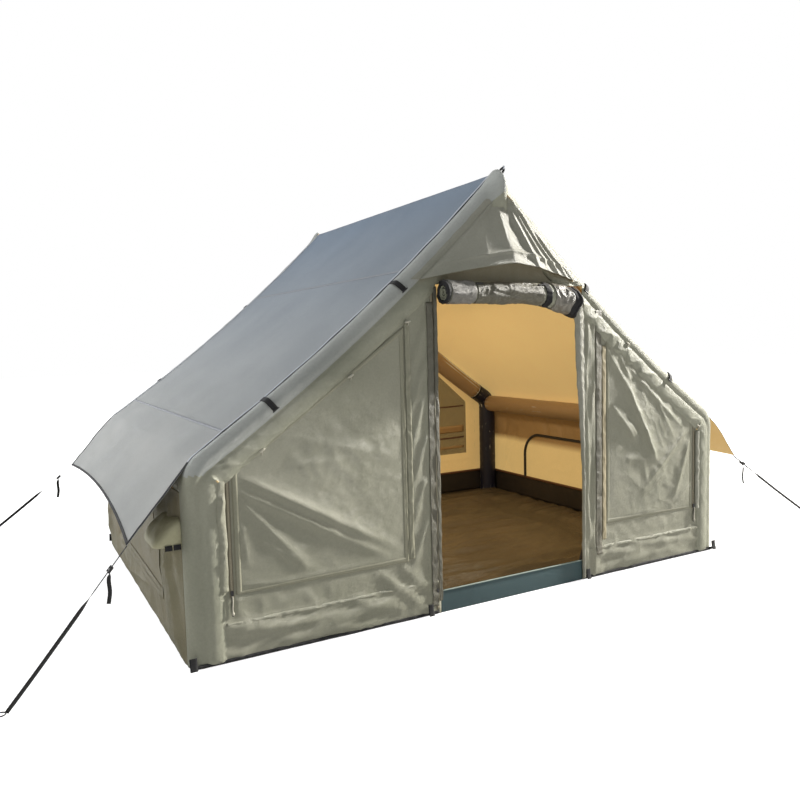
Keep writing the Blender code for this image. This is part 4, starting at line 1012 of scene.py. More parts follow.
def fly_point(u, v):
    share = 2 * u - 1
    sign = -1 if share < 0 else 1
    y = fly_depth(share) * (2 * v - 1)
    if abs(share) <= fly_roof_share:
        turn = share / fly_roof_share * fly_root_share
        point = rim_point(turn, -fly_lift)
        _, normal, _ = rim_frame(turn)
        point = point + normal * fly_relief(share, y, 0.0)
        return Vector((point.x, y, point.y))
    root, normal, _ = rim_frame(sign * fly_root_share)
    root = root + normal * fly_lift
    corner = Vector((sign * awning_corner.x, awning_corner.y))
    awning = (abs(share) - fly_roof_share) / (1 - fly_roof_share)
    hollow = awning_hollow * (1 - (2 * v - 1) ** 2)
    reach = 1 - hollow / (corner - root).length
    point = root.lerp(corner, awning * reach) + normal * fly_relief(share, y, awning)
    return Vector((point.x, y, point.y))


def add_fly_strip(name, us, vs, lift, columns, finish, length, along_u=True, thickness=0.0012, at=None):
    at = at or fly_point(sum(us) / 2, sum(vs) / 2)
    strip = over(fly_point, us, vs, lift, along_u)
    add_strip(name, strip, columns, finish, length, up, thickness, at=at)


fly, fly_area = add_cloth(
    "fly", fly_point, (330, 110), (4.5, 2.16), up, roof_middle, [fly_grey, fly_under_painted_glow], ["fly_sheet"],
    0.0014,
)

low_u = (1 - fly_roof_share) / 2
for (end, side), hem in zip(ends, ((0.0, 0.008), (0.992, 1.0))):
    middle = (0.05, side * 1.035, 1.97)
    add_fly_strip(f"fly_{end}_hem", (low_u, 1 - low_u), hem, 0.0022, 300, tape_grey, 3.9, at=middle)
    for hand, us in (("left", (0.0, low_u)), ("right", (1 - low_u, 1.0))):
        add_fly_strip(f"awning_{end}_binding_{hand}", us, hem, 0.0018, 40, binding_black, 0.4)
for hand, us in (("left", (0.0, 0.0028)), ("right", (0.9972, 1.0))):
    add_fly_strip(f"awning_edge_binding_{hand}", us, (0.0, 1.0), 0.0018, 110, binding_black, 2.2, False)
for index, seam in enumerate(fly_seams):
    for hand, sign in hands:
        centre = 0.5 + sign * seam / 2
        us = (centre - 0.0014, centre + 0.0014)
        name = f"fly_seam_{hand}_{index + 1}"
        add_fly_strip(name, us, (0.0, 1.0), 0.0010, 110, fly_seam, 2.16, False, 0.0006)

# Roof cloth

canopy_half_depth = 1.0377


def canopy_point(u, v):
    turn = (2 * u - 1) * (roof_share + arc_share)
    y = canopy_half_depth * (2 * v - 1)
    sag = 0.004 * (1 - (2 * v - 1) ** 2) * (0.5 + 0.5 * wave(turn * 2.7, y, 0.5, 31.0))
    sag += 0.0025 * crumple(turn * 2.7, y, 0.16, 33.0, 2.0, 0.3) * (1 - (2 * v - 1) ** 4)
    point = rim_point(turn, 0.0006 + sag)
    return Vector((point.x, y, point.y))


canopy, canopy_area = add_cloth(
    "canopy", canopy_point, (200, 64), (4.0, 2.08), up, roof_middle, [khaki, roof_lit], ["roof_canopy"]
)

# Door hood

hood_corner_height = 1.52
hood_rise = 0.07
hood_reach = 0.13
hood_edge_y = -1.0976
hood_edge_share = 0.93
hood_edge_line = outline_at(0.02)
hood_seat_line = outline_at(rim_round)
hood_apex = hood_edge_line[0].y
hood_folds = (
    ((0.004, 1.955), (0.130, 1.600), 0.008, 0.014),
    ((0.006, 1.950), (0.205, 1.590), 0.012, 0.010),
    ((0.016, 1.945), (0.275, 1.570), 0.013, 0.009),
    ((0.024, 1.950), (0.335, 1.560), 0.014, 0.009),
    ((0.036, 1.950), (0.392, 1.545), 0.014, 0.008),
    ((0.050, 1.945), (0.440, 1.530), 0.013, 0.008),
    ((0.070, 1.930), (0.470, 1.525), 0.011, 0.007),
    ((0.050, 1.800), (0.150, 1.560), 0.006, 0.014),
    ((-0.090, 1.873), (-0.130, 1.615), 0.0025, 0.020),
    ((-0.030, 1.900), (-0.010, 1.632), 0.004, 0.014),
)


def hood_point(u, v):
    side = 2 * u - 1
    z_edge = hood_apex + (hood_corner_height - hood_apex) * v
    inner = max(min(side / hood_edge_share, 1.0), -1.0)
    z_side = min(z_edge, hood_seat_line[0].y)
    x = width_at(hood_seat_line, z_side) * inner
    arch = 1 - abs(inner) ** 1.3
    z = z_side + hood_rise * v * arch
    out = hood_reach * v**1.4 * arch**0.8
    relief = fold_height(hood_folds, x, z, 1.6, 0.1, 0.1)
    rough = 0.0010 + 0.0045 * smooth_share(x, -0.05, 0.12)
    relief += rough * crumple(x, z, 0.07, 41.0, 2.6, -0.9) * v
    relief += 0.010 * crease(v - 0.86, 0.022) * (1 - 0.5 * abs(inner))
    free = smooth_share(1 - abs(inner), 0.0, 0.06) * smooth_share(v, 0.02, 0.12)
    y = -(half_depth + 0.0115 * smooth_share(abs(inner), 0.6, 1.0) + seat_gap) - out - relief * free
    if abs(side) > hood_edge_share:
        t = (abs(side) - hood_edge_share) / (1 - hood_edge_share)
        edge = Vector((copysign(width_at(hood_edge_line, z_edge), side), hood_edge_y, z_edge))
        return Vector((x, y, z)).lerp(edge, t) + Vector((0, -0.006 * sin(pi * t), 0))
    return Vector((x, y, z))


hood_sheet = grid(180, 100, hood_point, 1.0, 0.55)
bmesh.ops.remove_doubles(hood_sheet, verts=hood_sheet.verts, dist=0.0001)
face_towards(hood_sheet, front, (0.05, -1.16, 1.75))
hood_area = cloth_area(hood_sheet)
hood = finish_piece("hood", hood_sheet, [khaki_pale, hood_under_painted_glow], thin_cloth, replaces=["door_hood"])
hem_place = over(hood_point, (0.03, 0.97), (0.955, 1.0), 0.0022)
add_strip("hood_hem", hem_place, 110, khaki_pale, 1.0, front, at=hood_point(0.5, 0.98))
for hand, us in (("left", (0.0, 0.02)), ("right", (0.98, 1.0))):
    piping = over(hood_point, us, (0.03, 1.0), 0.004, along_u=False)
    middle = hood_point(sum(us) / 2, 0.5)
    add_strip(f"hood_piping_{hand}", piping, 60, khaki_pale, 0.7, front, at=middle)

# Rolled door with its band

roll_radius = 0.048
roll_half_length = 0.38
roll_centre_x = 0.03
roll_turns = 3.6
roll_sheet = 0.005
roll_pitch = 0.0108
roll_steps = 150
roll_mid_y = -1.1587
roll_mid_z = 1.46
roll_foot = 0.93
roll_flare = 0.44
roll_drop = 0.046
roll_width = 0.78
band_us = (0.2, 0.7)
band_share = (0.7155, 0.886)


def roll_section(across, share):
    """A point of the rolled cloth's section, from its core to the doorway's head."""
    loosening = max(across, 0.0) ** 2
    flare = 1 + roll_flare * loosening
    middle = Vector((roll_mid_y, roll_mid_z - roll_drop * loosening))
    turn_share = min(share / roll_foot, 1.0)
    left = roll_turns * (1 - turn_share)
    angle = radians(120) - 2 * pi * left
    squeeze = 1 - 0.06 * ridge_line(across + 0.05, 0.35)
    rough = 0.0040 * wave(across * 0.9, angle * 0.06, 0.10, 51.0, 3.0)
    rough += 0.0050 * crumple(across * 0.38, angle * 0.05, 0.035, 53.0, 3.5)
    frill = 0.002 * smooth_share(across, 0.72, 1.0) * sin(3 * angle)
    radius = (roll_radius * flare - roll_pitch * flare * left) * squeeze
    radius += (rough + frill) * min(turn_share * 2, 1.0) - 0.002
    radius = max(radius, 0.004)
    spot = middle + radius * Vector((-cos(angle), sin(angle)))
    if share <= roll_foot:
        return spot
    t = (share - roll_foot) / (1 - roll_foot)
    head = Vector((-1.1035, door_height + 0.012))
    knee = Vector((-1.104, spot.y * 0.45 + head.y * 0.55))
    return spot.lerp(knee, min(2 * t, 1.0)).lerp(head, max(2 * t - 1, 0.0))


def roll_point(u, v):
    across = 2 * u - 1
    section = roll_section(across, v)
    lean = 0.010 * smooth_share(across, 0.75, 1.0) * sin(8 * v * pi * roll_turns)
    lean -= 0.030 * smooth_share(across, 0.2, 1.0)
    return Vector((roll_centre_x + roll_half_length * across + lean, section.x, section.y))


def off_roll(spot, lift, drop=0.0):
    """A spot on the roll lifted off it, away from the roll's middle."""
    away = (spot - Vector((spot.x, roll_mid_y, roll_mid_z - drop))).normalized()
    return spot + away * lift


def add_roll_edge(name, us):
    strip = over(roll_point, us, (0.64, roll_foot), 0.003, along_u=False)
    at = roll_point(sum(us) / 2, 0.8)
    add_strip(name, strip, 120, binding_black, 1.0, front, 0.0022, 5, at)


def band_relief(u, v):
    spot = over(roll_point, band_us, band_share, 0.0)(u, v)
    pull = 0.0040 * crumple(u * 0.38, v * 0.3, 0.030, 61.0, 1.0, 1.57) * sin(pi * u) ** 0.3
    return off_roll(spot, 0.0042 + pull)


roll, roll_area = add_cloth(
    "rolled_door", roll_point, (90, roll_steps), (roll_width, 1.2), front, (0.03, -1.2, 1.46),
    [khaki_soft, khaki_soft], ["door_roll"], roll_sheet, 0.0,
)
add_roll_edge("roll_edge_right", (0.950, 1.0))
add_roll_edge("roll_edge_left", (0.0, 0.016))
door_band, band_area = add_cloth(
    "door_band_cloth", band_relief, (80, 44), (0.38, 0.2), front, band_relief(0.5, 0.5),
    [olive_with_painted_shade, olive_with_painted_shade], ["door_band"], 0.0014, 1.0,
)

# Window flaps

flap_folds = {
    "left": (
        ((-1.243, 0.719), (-0.557, 0.329), 0.012, 0.016),
        ((-1.266, 0.671), (-0.565, 0.273), 0.009, 0.014),
        ((-1.267, 0.630), (-1.021, 0.351), 0.007, 0.014),
        ((-1.191, 0.464), (-0.977, 0.311), 0.004, 0.014),
        ((-1.277, 0.539), (-1.257, 0.392), 0.006, 0.008),
        ((-1.292, 0.305), (-1.091, 0.284), 0.007, 0.008),
        ((-1.091, 0.288), (-0.565, 0.296), 0.007, 0.008),
        ((-1.098, 0.889), (-0.564, 0.741), 0.003, 0.026),
        ((-1.071, 0.762), (-0.845, 0.759), 0.003, 0.020),
    ),
    "right": (
        ((0.672, 1.180), (0.838, 0.938), 0.011, 0.010),
        ((0.823, 0.951), (0.942, 0.734), 0.013, 0.012),
        ((0.934, 0.746), (1.008, 0.590), 0.011, 0.010),
        ((0.714, 0.878), (0.862, 0.694), 0.011, 0.010),
        ((0.770, 0.840), (0.880, 0.720), 0.005, 0.012),
        ((1.237, 0.697), (0.919, 0.419), 0.007, 0.010),
        ((1.289, 0.668), (1.153, 0.329), 0.009, 0.010),
        ((0.850, 1.060), (1.193, 0.760), 0.008, 0.009),
        ((0.791, 0.300), (1.068, 0.290), 0.006, 0.009),
        ((0.791, 0.597), (1.033, 0.578), 0.004, 0.012),
        ((0.680, 1.250), (0.722, 1.159), 0.007, 0.008),
        ((1.067, 0.484), (0.919, 0.395), 0.005, 0.010),
        ((1.275, 0.400), (1.170, 0.314), 0.008, 0.010),
        ((0.760, 1.150), (0.830, 1.020), 0.007, 0.009),
        ((1.050, 0.860), (1.150, 0.700), 0.005, 0.010),
    ),
}
flap_roughness = {"left": 0.0022, "right": 0.0042}
flap_bend = {
    "left": ((-0.9175, 0, 1.035), (-0.8971, 0, 1.0065)),
    "right": ((0.9875, 0, 1.035), (0.9645, 0, 1.0086)),
}
flap_hems = (
    ("foot", (0.0, 1.0), (0.0, 0.022), True),
    ("top", (0.0, 1.0), (0.978, 1.0), True),
    ("outer", (0.0, 0.028), (0.0, 1.0), False),
    ("inner", (0.972, 1.0), (0.0, 1.0), False),
)


def four_sided(shape):
    """The place in a four-cornered outline at a share across and a share up."""
    low_first, low_second, top_second, top_first = (Vector(corner) for corner in shape)
    return lambda u, v: low_first.lerp(low_second, u).lerp(top_first.lerp(top_second, u), v)


def flap_surface(hand, side):
    inside = four_sided(flap_outlines[hand])
    rough = flap_roughness[hand]

    def place(u, v):
        x, z = inside(u, v)
        edge = (sin(pi * min(max(u, 0), 1)) * sin(pi * min(max(v, 0), 1))) ** 0.45
        out = 0.008 * (1 - 0.4 * v) + fold_height(flap_folds[hand], x, z, 1.3, 0.08, 0.3)
        out += rough * crumple(x, z, 0.10, 71.0 + side, 1.6, -0.8)
        out += 0.4 * rough * crumple(x, z, 0.045, 73.0 + side, 1.4, -0.5)
        return Vector((x, side * (half_depth + seat_gap + 0.0022 + out * edge), z))

    return place


for end, side in ends:
    for hand, _ in hands:
        surface = flap_surface(hand, side)
        out = (0, side, 0)
        swinging = ("tent", f"{end}_{hand}_flap", *flap_bend[hand])
        flap, area = add_cloth(
            f"{end}_flap_{hand}", surface, (84, 84), (0.72, 0.9), out, None, [khaki, khaki_lit],
            [f"{end}_window_flap_{hand}"], body=swinging,
        )
        for edge, us, vs, along_u in flap_hems:
            strip = over(surface, us, vs, 0.0006, along_u)
            spot = surface(sum(us) / 2, sum(vs) / 2)
            name = f"{end}_flap_{hand}_{edge}_hem"
            add_strip(name, strip, 60, tape_khaki, 0.9, out, 0.0006, 3, spot, body=swinging)

# Side walls with their half-round windows

side_half = 1.0377
side_top = 0.6932
window_half = 0.60
window_low = 0.17
window_high = 0.50
window_round = 0.16
panel_lap = 0.0148
fold_low, fold_high = (0, 0, 0.163), (0, 0, 0.200)
side_folds = (
    ((-0.820, 0.520), (-1.000, 0.040), 0.026, 0.022),
    ((-0.760, 0.600), (-0.900, 0.060), 0.016, 0.016),
    ((-0.900, 0.640), (-1.030, 0.300), 0.012, 0.016),
    ((-0.640, 0.640), (-0.990, 0.500), 0.010, 0.022),
    ((-0.660, 0.560), (-0.780, 0.080), 0.012, 0.018),
    ((0.720, 0.560), (1.000, 0.060), 0.014, 0.030),
    ((0.860, 0.600), (0.960, 0.200), 0.012, 0.020),
    ((-0.300, 0.130), (0.200, 0.060), 0.008, 0.020),
    ((0.100, 0.060), (0.560, 0.120), 0.008, 0.020),
    ((-0.500, 0.640), (0.100, 0.590), 0.007, 0.026),
    ((0.000, 0.600), (0.600, 0.640), 0.007, 0.026),
)


def window_edge(grow, share):
    """A side window's outline as (y, z): share 0 to 1 from its left foot round to its left foot."""
    half, low, high = window_half + grow, window_low - grow, window_high + grow
    size = window_round + grow
    corner = size * pi / 2
    upright_run = high - low - size
    top_run = 2 * (half - size) + corner
    quarter = min(share * 4, 3.9999)
    part, t = int(quarter), quarter - int(quarter)
    if part == 0:
        return Vector((-half + 2 * half * t, low))
    if part == 1 or part == 3:
        sign = 1 if part == 1 else -1
        distance = (t if part == 1 else 1 - t) * (upright_run + corner / 2)
        if distance <= upright_run:
            return Vector((sign * half, low + distance))
        angle = (distance - upright_run) / size
        return Vector((sign * (half - size + size * cos(angle)), high - size + size * sin(angle)))
    distance = t * top_run
    if distance < corner / 2:
        angle = pi / 4 + distance / size
        return Vector((half - size + size * cos(angle), high - size + size * sin(angle)))
    if distance > top_run - corner / 2:
        angle = pi / 2 + (distance - top_run + corner / 2) / size
        return Vector((-half + size + size * cos(angle), high - size + size * sin(angle)))
    return Vector((half - size - (distance - corner / 2), high))


def box_edge(corners, share, full=3.9999):
    """A place on a four-cornered line, once round from its first corner."""
    quarter = min(share * 4, full)
    part = int(quarter)
    return Vector(corners[part]).lerp(Vector(corners[(part + 1) % 4]), quarter - part)


def side_relief(y, z):
    out = fold_height(side_folds, y, z, 1.35) + 0.011 * crumple(y, z, 0.14, 81.0, 1.8, 1.2)
    edge = min(side_half - abs(y), z + 0.02, side_top - z + 0.012)
    return out * smooth_share(edge, 0.0, 0.06)


def wall_point(u, v):
    """The cloth round a side window, from its edge out to the wall's: distance out, y and z."""
    corners = ((-side_half, 0), (side_half, 0), (side_half, side_top), (-side_half, side_top))
    spot = window_edge(0.0, u).lerp(box_edge(corners, u), v**0.8)
    return half_width + side_relief(spot.x, spot.y), spot.x, spot.y


def panel_point(u, v):
    low, high = window_low - panel_lap, window_high + panel_lap
    z = low + (high - low) * v
    round_size = window_round + panel_lap
    half = window_half + panel_lap
    if z > high - round_size:
        drop = z - (high - round_size)
        half += sqrt(max(round_size**2 - drop**2, 0)) - round_size
    y = half * (2 * u - 1)
    edge = min(1.0, (1 - abs(2 * u - 1)) * 6, v * 6, (1 - v) * 6)
    bulge = 0.004 * crumple(y, z, 0.12, 91.0, 1.6, 0.3) + 0.003
    return half_width - wall_cloth - seat_gap - 0.0002 - bulge * smooth_share(edge, 0, 1), y, z


def cover_point(u, v):
    spot = window_edge(0.024 - 0.036 * v, u)
    seat = (side_relief(spot.x, spot.y) + 0.0022) * (1 - v**2) - 0.0030 * v**2
    return half_width + seat, spot.x, spot.y


def mirrored(sign, point):
    """A surface of the right side, on the side that sign says."""

    def place(u, v):
        x, y, z = point(u, v)
        return Vector((sign * x, y, z))

    return place


wall_finishes = [wall_brown, side_inside_painted_shadow]
for hand, sign in hands:
    outwards = (sign, 0, 0)
    wall, area = add_cloth(
        f"{hand}_side_cloth", mirrored(sign, wall_point), (336, 30), (4.0, 0.4), outwards,
        (sign * 1.5, 0, 0.6), wall_finishes, [f"{hand}_wall"], folded_cloth, closed=True,
    )
    folding = ("tent", f"{hand}_panel", fold_low, fold_high)
    panel, area = add_cloth(
        f"{hand}_panel_cloth", mirrored(sign, panel_point), (110, 44), (1.23, 0.36), outwards, None,
        wall_finishes, [f"{hand}_window_panel"], body=folding,
    )
    add_cloth(
        f"{hand}_zip_cover", mirrored(sign, cover_point), (300, 6), (3.4, 0.036), outwards, None,
        [wall_brown], (), 0.0012, 1.0, closed=True,
    )
    zip_path = [window_edge(0.006, 0.25 + 0.75 * t) for t in shares(120)]
    zip_path = [Vector((sign * (half_width - 0.0165), spot.x, spot.y)) for spot in zip_path]
    add_tube(f"{hand}_panel_zip", zip_path, 0.0100, teeth, 8, folding)

# Hood over the pump port on the left wall

port_radius = 0.105
port_bottom = 0.485
port_front = -1.050
port_length = 0.26
port_flatness = 1.4


def port_point(u, v):
    rounding = (1 - abs(2 * u - 1) ** 7) ** (1 / 5) if 0 < u < 1 else 0.0
    angle = pi / 2 * min(max(v, 0), 1)
    radius = port_radius * rounding * (1 - 0.05 * wave(u * 0.5, v * 0.3, 0.12, 95.0))
    x = -half_width - 0.001 - radius * cos(angle) ** port_flatness
    return Vector((x, port_front + port_length * u, port_bottom + radius * sin(angle) ** port_flatness))


port, port_area = add_cloth(
    "port_cover", port_point, (60, 22), (port_length, 0.17), (-1, 0, 1), port_point(0.5, 0.5),
    [port_khaki_painted_lighter, port_khaki_painted_lighter], ["port_hood"], closed=True,
)
for index, near in enumerate((0.004, 0.037)):

    def tab_point(u, v, near=near):
        x = -half_width - near - 0.028 * v
        return Vector((x, port_front + 0.0004, port_bottom - 0.013 + 0.021 * u))

    add_strip(f"port_tab_{index + 1}", tab_point, 14, webbing_black, 0.03, front)

# Ground sheet with raised sides

floor_half_width = 1.4925
floor_half_depth = 1.0925
floor_lift = 0.0032
tub_half_width = 1.4935
tub_half_depth = 1.0935
tub_side_height = 0.163
tub_corner = 0.07
flat_floor_depth = 0.80
folded_panel_x = 1.14
sill_front = -1.0985
sill_wrap = 0.80
sill_radius = 0.0045


def floor_point(u, v):
    """The floor: small ripples, nearly flat where the folded panels come to lie."""
    x, y = floor_half_width * (2 * u - 1), floor_half_depth * (2 * v - 1)
    ripple = 0.0230 * crumple(x, y, 0.15, 101.0, 5.0, 0.05)
    ripple += 0.0040 * crumple(x, y, 0.05, 103.0, 3.0, 0.1)
    edge = min(floor_half_width - abs(x), floor_half_depth - abs(y))
    smooth = 1 - smooth_share(abs(abs(x) - folded_panel_x), 0.05, 0.14)
    smooth *= smooth_share(flat_floor_depth - abs(y), 0.0, 0.12)
    return Vector((x, y, floor_lift + ripple * (1 - 0.8 * smooth) * smooth_share(edge, 0.0, 0.05)))


def tub_edge(share):
    """The raised sides' plan as (x, y) with round corners, once round from the front left one."""
    x, y = tub_half_width, tub_half_depth
    spot = box_edge(((-x, -y), (x, -y), (x, y), (-x, y)), share, 3.99999)
    over_x = abs(spot.x) - (x - tub_corner)
    over_y = abs(spot.y) - (y - tub_corner)
    if over_x > 0 and over_y > 0:
        pull = 1 - tub_corner / hypot(over_x, over_y)
        spot -= Vector((copysign(over_x, spot.x), copysign(over_y, spot.y))) * max(pull, 0)
    return spot


def tub_point(u, v):
    spot = tub_edge(u)
    in_door = door_left < spot.x < door_right and spot.y < -1.09
    top = sill_height - 0.004 if in_door else tub_side_height
    lean = 0.0025 * wave(u * 10, v * 0.1, 0.12, 107.0) * sin(pi * v)
    shrink = 1 - (0.0012 + abs(lean)) / 1.3
    return Vector((spot.x * shrink, spot.y * shrink, floor_lift + top * v - 0.003 * v))


def sill_point(u, v):
    x = door_left - 0.004 + (door_right - door_left + 0.008) * u
    bulge = 0.003 * (0.5 + 0.5 * wave(x, v * 0.1, 0.12, 109.0, 1.5))
    if v < sill_wrap:
        return Vector((x, sill_front - bulge * sin(pi * v / sill_wrap), sill_height * v / sill_wrap))
    angle = pi * (v - sill_wrap) / (1 - sill_wrap)
    y = sill_front + sill_radius - sill_radius * cos(angle)
    return Vector((x, y, sill_height + sill_radius * sin(angle) * 0.8))


ground, floor_area = add_cloth(
    "ground_sheet", floor_point, (200, 150), (2.98, 2.18), up, None, [floor_brown], ["tub_floor"],
)
tub, tub_area = add_cloth(
    "tub_sides", tub_point, (520, 8), (10.4, 0.16), front, (-1.0, -1.09, 0.06), [tub_dark, tub_dark],
    ["tub_floor"], offset=0.0, closed=True,
)
tub_piping = [tub_point(0.252 + 0.746 * t, 1.0) * 0.9975 for t in shares(300)]
add_tube("tub_piping", tub_piping, 0.0095, tape_brown)
sill_middle = (0.07, -1.1, 0.05)
add_cloth(
    "door_sill", sill_point, (70, 30), (0.87, 0.12), front, sill_middle, [sill_teal], (), 0.0015,
)
sill_top = [Vector((door_left + 0.86 * t, -1.1000, sill_height + 0.002)) for t in shares(30)]
add_tube("door_sill_piping", sill_top, 0.0030, tape_sage, 8)

# Air frame sleeves

tube_radius = 0.0625
tube_inset = 0.07196
arch_y = 1.02804
sleeve_end_u = 0.650
beam_half = 0.9652
beams = (
    ("left_eave_beam", -1.4247, 0.7192),
    ("right_eave_beam", 1.4247, 0.7192),
    ("ridge_beam", 0.0, 1.8785),
)


def arch_points(first_u, last_u, side, steps):
    points = []
    for t in shares(steps):
        u = first_u + (last_u - first_u) * t
        near_peak = max(0.0, 1 - abs(u) / 0.035)
        spot = rim_point(u, tube_inset)
        points.append(Vector((spot.x, side * arch_y, max(spot.y - 0.02 * near_peak**2, 0.0035))))
    return points


def add_sleeve(name, points, seed, finish, node):
    def radius(share, angle):
        fade = min(1.0, min(share, 1 - share) * 12)
        return tube_radius + 0.0012 * fade * (0.6 + wave(share * 3, sin(angle) * 3 * 0.06, 0.09, seed))

    finish_piece(name, tube(points, radius, 32, 0.39), [finish], replaces=[node])


for end, side in ends:
    rafter = arch_points(-sleeve_end_u + 0.002, sleeve_end_u - 0.002, side, 110)
    node = f"{end}_rafter_sleeve"
    add_sleeve(f"{end}_rafter_tube", rafter, 201.0 + side, sleeve_brown, node)
    for hand, sign in hands:
        points = arch_points(sign * 0.9988, sign * sleeve_end_u, side, 60)
        seed, node = 211.0 + side + sign / 2, f"{end}_post_sleeve_{hand}"
        add_sleeve(f"{end}_post_{hand}", points, seed, sleeve_navy, node)
        ring = [points[-2] + (points[-1] - points[-2]) * t for t in (0.0, 0.35, 0.7, 1.0)]
        name, size = f"{end}_sleeve_seam_{hand}", tube_radius + 0.0012
        add_tube(name, ring, size, binding_black, 32)
for name, x, z in beams:
    points = [Vector((x, beam_half * (2 * t - 1), z)) for t in shares(60)]
    add_sleeve(name, points, 221.0 + x, sleeve_brown, f"{name}_sleeve")

# Straps that hold the fly's edges down

strap_width = 0.025
strap_turns = {"lower": 0.557, "upper": 0.275}
strap_run = (
    (0.0052, 1.030),
    (0.0056, 1.066),
    (0.0056, 1.083),
    (0.0010, 1.0925),
    (-0.008, 1.1005),
    (-0.020, 1.1085),
    (-0.034, 1.1135),
    (-0.046, 1.1160),
)


def strap_profile(share):
    """A strap's run as (lift, y): on the fly, over its edge and down the band."""
    place = share * (len(strap_run) - 1)
    index = min(int(place), len(strap_run) - 2)
    return Vector(strap_run[index]).lerp(Vector(strap_run[index + 1]), place - index)


def add_strap(end, side, hand, sign, level, turn):
    point, normal, _ = rim_frame(sign * turn)
    run = Vector((-normal.y, normal.x)) * sign

    def place(u, v):
        lift, y = strap_profile(u)
        spot = point + normal * lift + run * strap_width * (v - 0.5)
        return Vector((spot.x, side * y, spot.y))

    node = f"fly_strap_{end}_{hand}_{level}"
    add_cloth(
        f"{end}_{hand}_{level}_strap", place, (28, 6), (0.11, 1.0), (normal.x, side, normal.y), None,
        [webbing_black], [node], 0.0015, 1.0,
    )
    foot = place(0.97, 0.5)
    half = Vector((run.x, 0, run.y)) * 0.017
    rod = [foot - half, foot - half * 0.5, foot, foot + half * 0.5, foot + half]
    rod = [spot + Vector((0, side * 0.0025, 0)) for spot in rod]
    add_tube(f"{end}_{hand}_{level}_bar", rod, 0.003, plastic_black)


for end, side in ends:
    for hand, sign in hands:
        for level, turn in strap_turns.items():
            add_strap(end, side, hand, sign, level, turn)

# Zips, hems, loops and piping

tape_y = 1.1004
trim_cloth = 0.0015


def upright(x_low, x_high, z_low, z_high, y, relief):
    """A strip on the front wall, along its height, with its own relief."""

    def place(u, v):
        z = z_low + (z_high - z_low) * u
        x = x_low + (x_high - x_low) * v
        shift, out = relief(z, v)
        return Vector((x + shift, -(y + out + 0.9 * front_relief(x + shift, z)), z))

    return place


def unmoved(z, v):
    return 0, 0


def wavy(size, seed, slump=0.0):
    def relief(z, v):
        shift = size * wave(z, 0.0, 0.09, seed) + 0.5 * size * wave(z, 0.0, 0.035, seed + 1)
        out = 0.0035 * crumple(z, v * 0.03, 0.045, seed + 2, 1.0) * sin(pi * v) ** 0.5
        return shift, out + slump * sin(pi * v)

    return relief


def knotted(share, _):
    """The radius of a pull cord with a knot near its end."""
    return 0.0026 + 0.0032 * ridge_line(share - 0.9, 0.07)


def barrel(share, _):
    """The radius of a toggle."""
    return 0.0042 * (1 - abs(2 * share - 1) ** 6) + 0.0006


left_cover = upright(-1.376, -1.340, 0.29, 0.74, 1.1035, wavy(0.004, 301.0, 0.004))
add_strip("zip_cover_left", left_cover, 90, khaki, 0.45, front, trim_cloth, 10)
right_cover = upright(1.340, 1.372, 0.26, 0.70, 1.1035, wavy(0.004, 311.0, 0.004))
add_strip("zip_cover_right", right_cover, 90, khaki_pale, 0.45, front, trim_cloth, 10)
for hand, sign in hands:
    zip_x = sign * window_zip_x
    tape = upright(zip_x - 0.009, zip_x + 0.009, 0.262, 0.735, tape_y, unmoved)
    add_strip(f"window_zip_{hand}", tape, 40, teeth_khaki, 0.47, front, 0.0008, 2)
    knot = Vector((zip_x, -1.1085, 0.0))
    pull = [knot + Vector((0.0012 * sin(7 * t), 0, 0.268 - 0.078 * t)) for t in shares(20)]
    name, slider = f"window_pull_cord_{hand}", f"{hand}_slider"
    add_tube(name, pull, knotted, cord_cream, body=slider)
door_tape = upright(-0.387, -0.369, 0.02, 1.47, tape_y, unmoved)
add_strip("door_zip_left", door_tape, 90, teeth_khaki, 1.45, front, 0.0008, 2)
for name, x_low, x_high, z_low, z_high, y, size, seed, finish in (
    ("door_hem_left", -0.370, -0.352, 0.06, 1.49, 1.1040, 0.0030, 321.0, olive_with_painted_shade),
    ("door_flap_left", -0.408, -0.372, 0.04, 1.42, 1.1020, 0.0012, 325.0, olive_with_painted_shade),
    ("door_cover_left", -0.520, -0.497, 0.28, 1.33, 1.1045, 0.0030, 331.0, tape_khaki),
    # The next strip is dark olive cloth laid as painted shade along the fold channel right of the doorway.
    ("painted_fold_shade_right", 0.586, 0.630, 0.12, 1.38, 1.1025, 0.0015, 341.0, olive_with_painted_shade),
    ("seam_strip_right", 0.500, 0.514, 0.02, 1.40, 1.1035, 0.0030, 351.0, khaki_pale),
    ("tan_strip_right", 0.634, 0.660, 0.19, 1.20, 1.1035, 0.0018, 355.0, tape_sand),
):
    strip = upright(x_low, x_high, z_low, z_high, y, wavy(size, seed))
    add_strip(name, strip, 170, finish, z_high - z_low, front, trim_cloth, 8)


def door_edge_point(u, v):
    """Loose edge of the right doorway cloth, leaning into the doorway at its top."""
    z = 0.012 + 1.42 * u
    lean = 0.046 * smooth_share(z, 0.45, 1.35) + 0.006 * wave(z, 0.0, 0.12, 381.0)
    lean += 0.003 * wave(z, 0.0, 0.04, 382.0)
    x = 0.512 - (0.016 + lean) * v
    out = 0.010 * sin(pi * v) + 0.004 * crumple(z, v * 0.03, 0.06, 383.0)
    return Vector((x, -(1.1042 + out), z))


add_strip("door_edge_right", door_edge_point, 200, khaki_pale, 1.42, front, 0.0016, 12)


def level_strip(x_low, x_high, z, width, seed):
    def place(u, v):
        x = x_low + (x_high - x_low) * u
        shift = 0.003 * wave(x, 0.0, 0.15, seed)
        out = 0.004 * (0.4 + crumple(x, v * 0.02, 0.05, seed + 1.0)) * sin(pi * v) ** 0.5
        return Vector((x, -(1.1022 + out), max(z + shift + width * (v - 0.5), 0.001)))

    return place


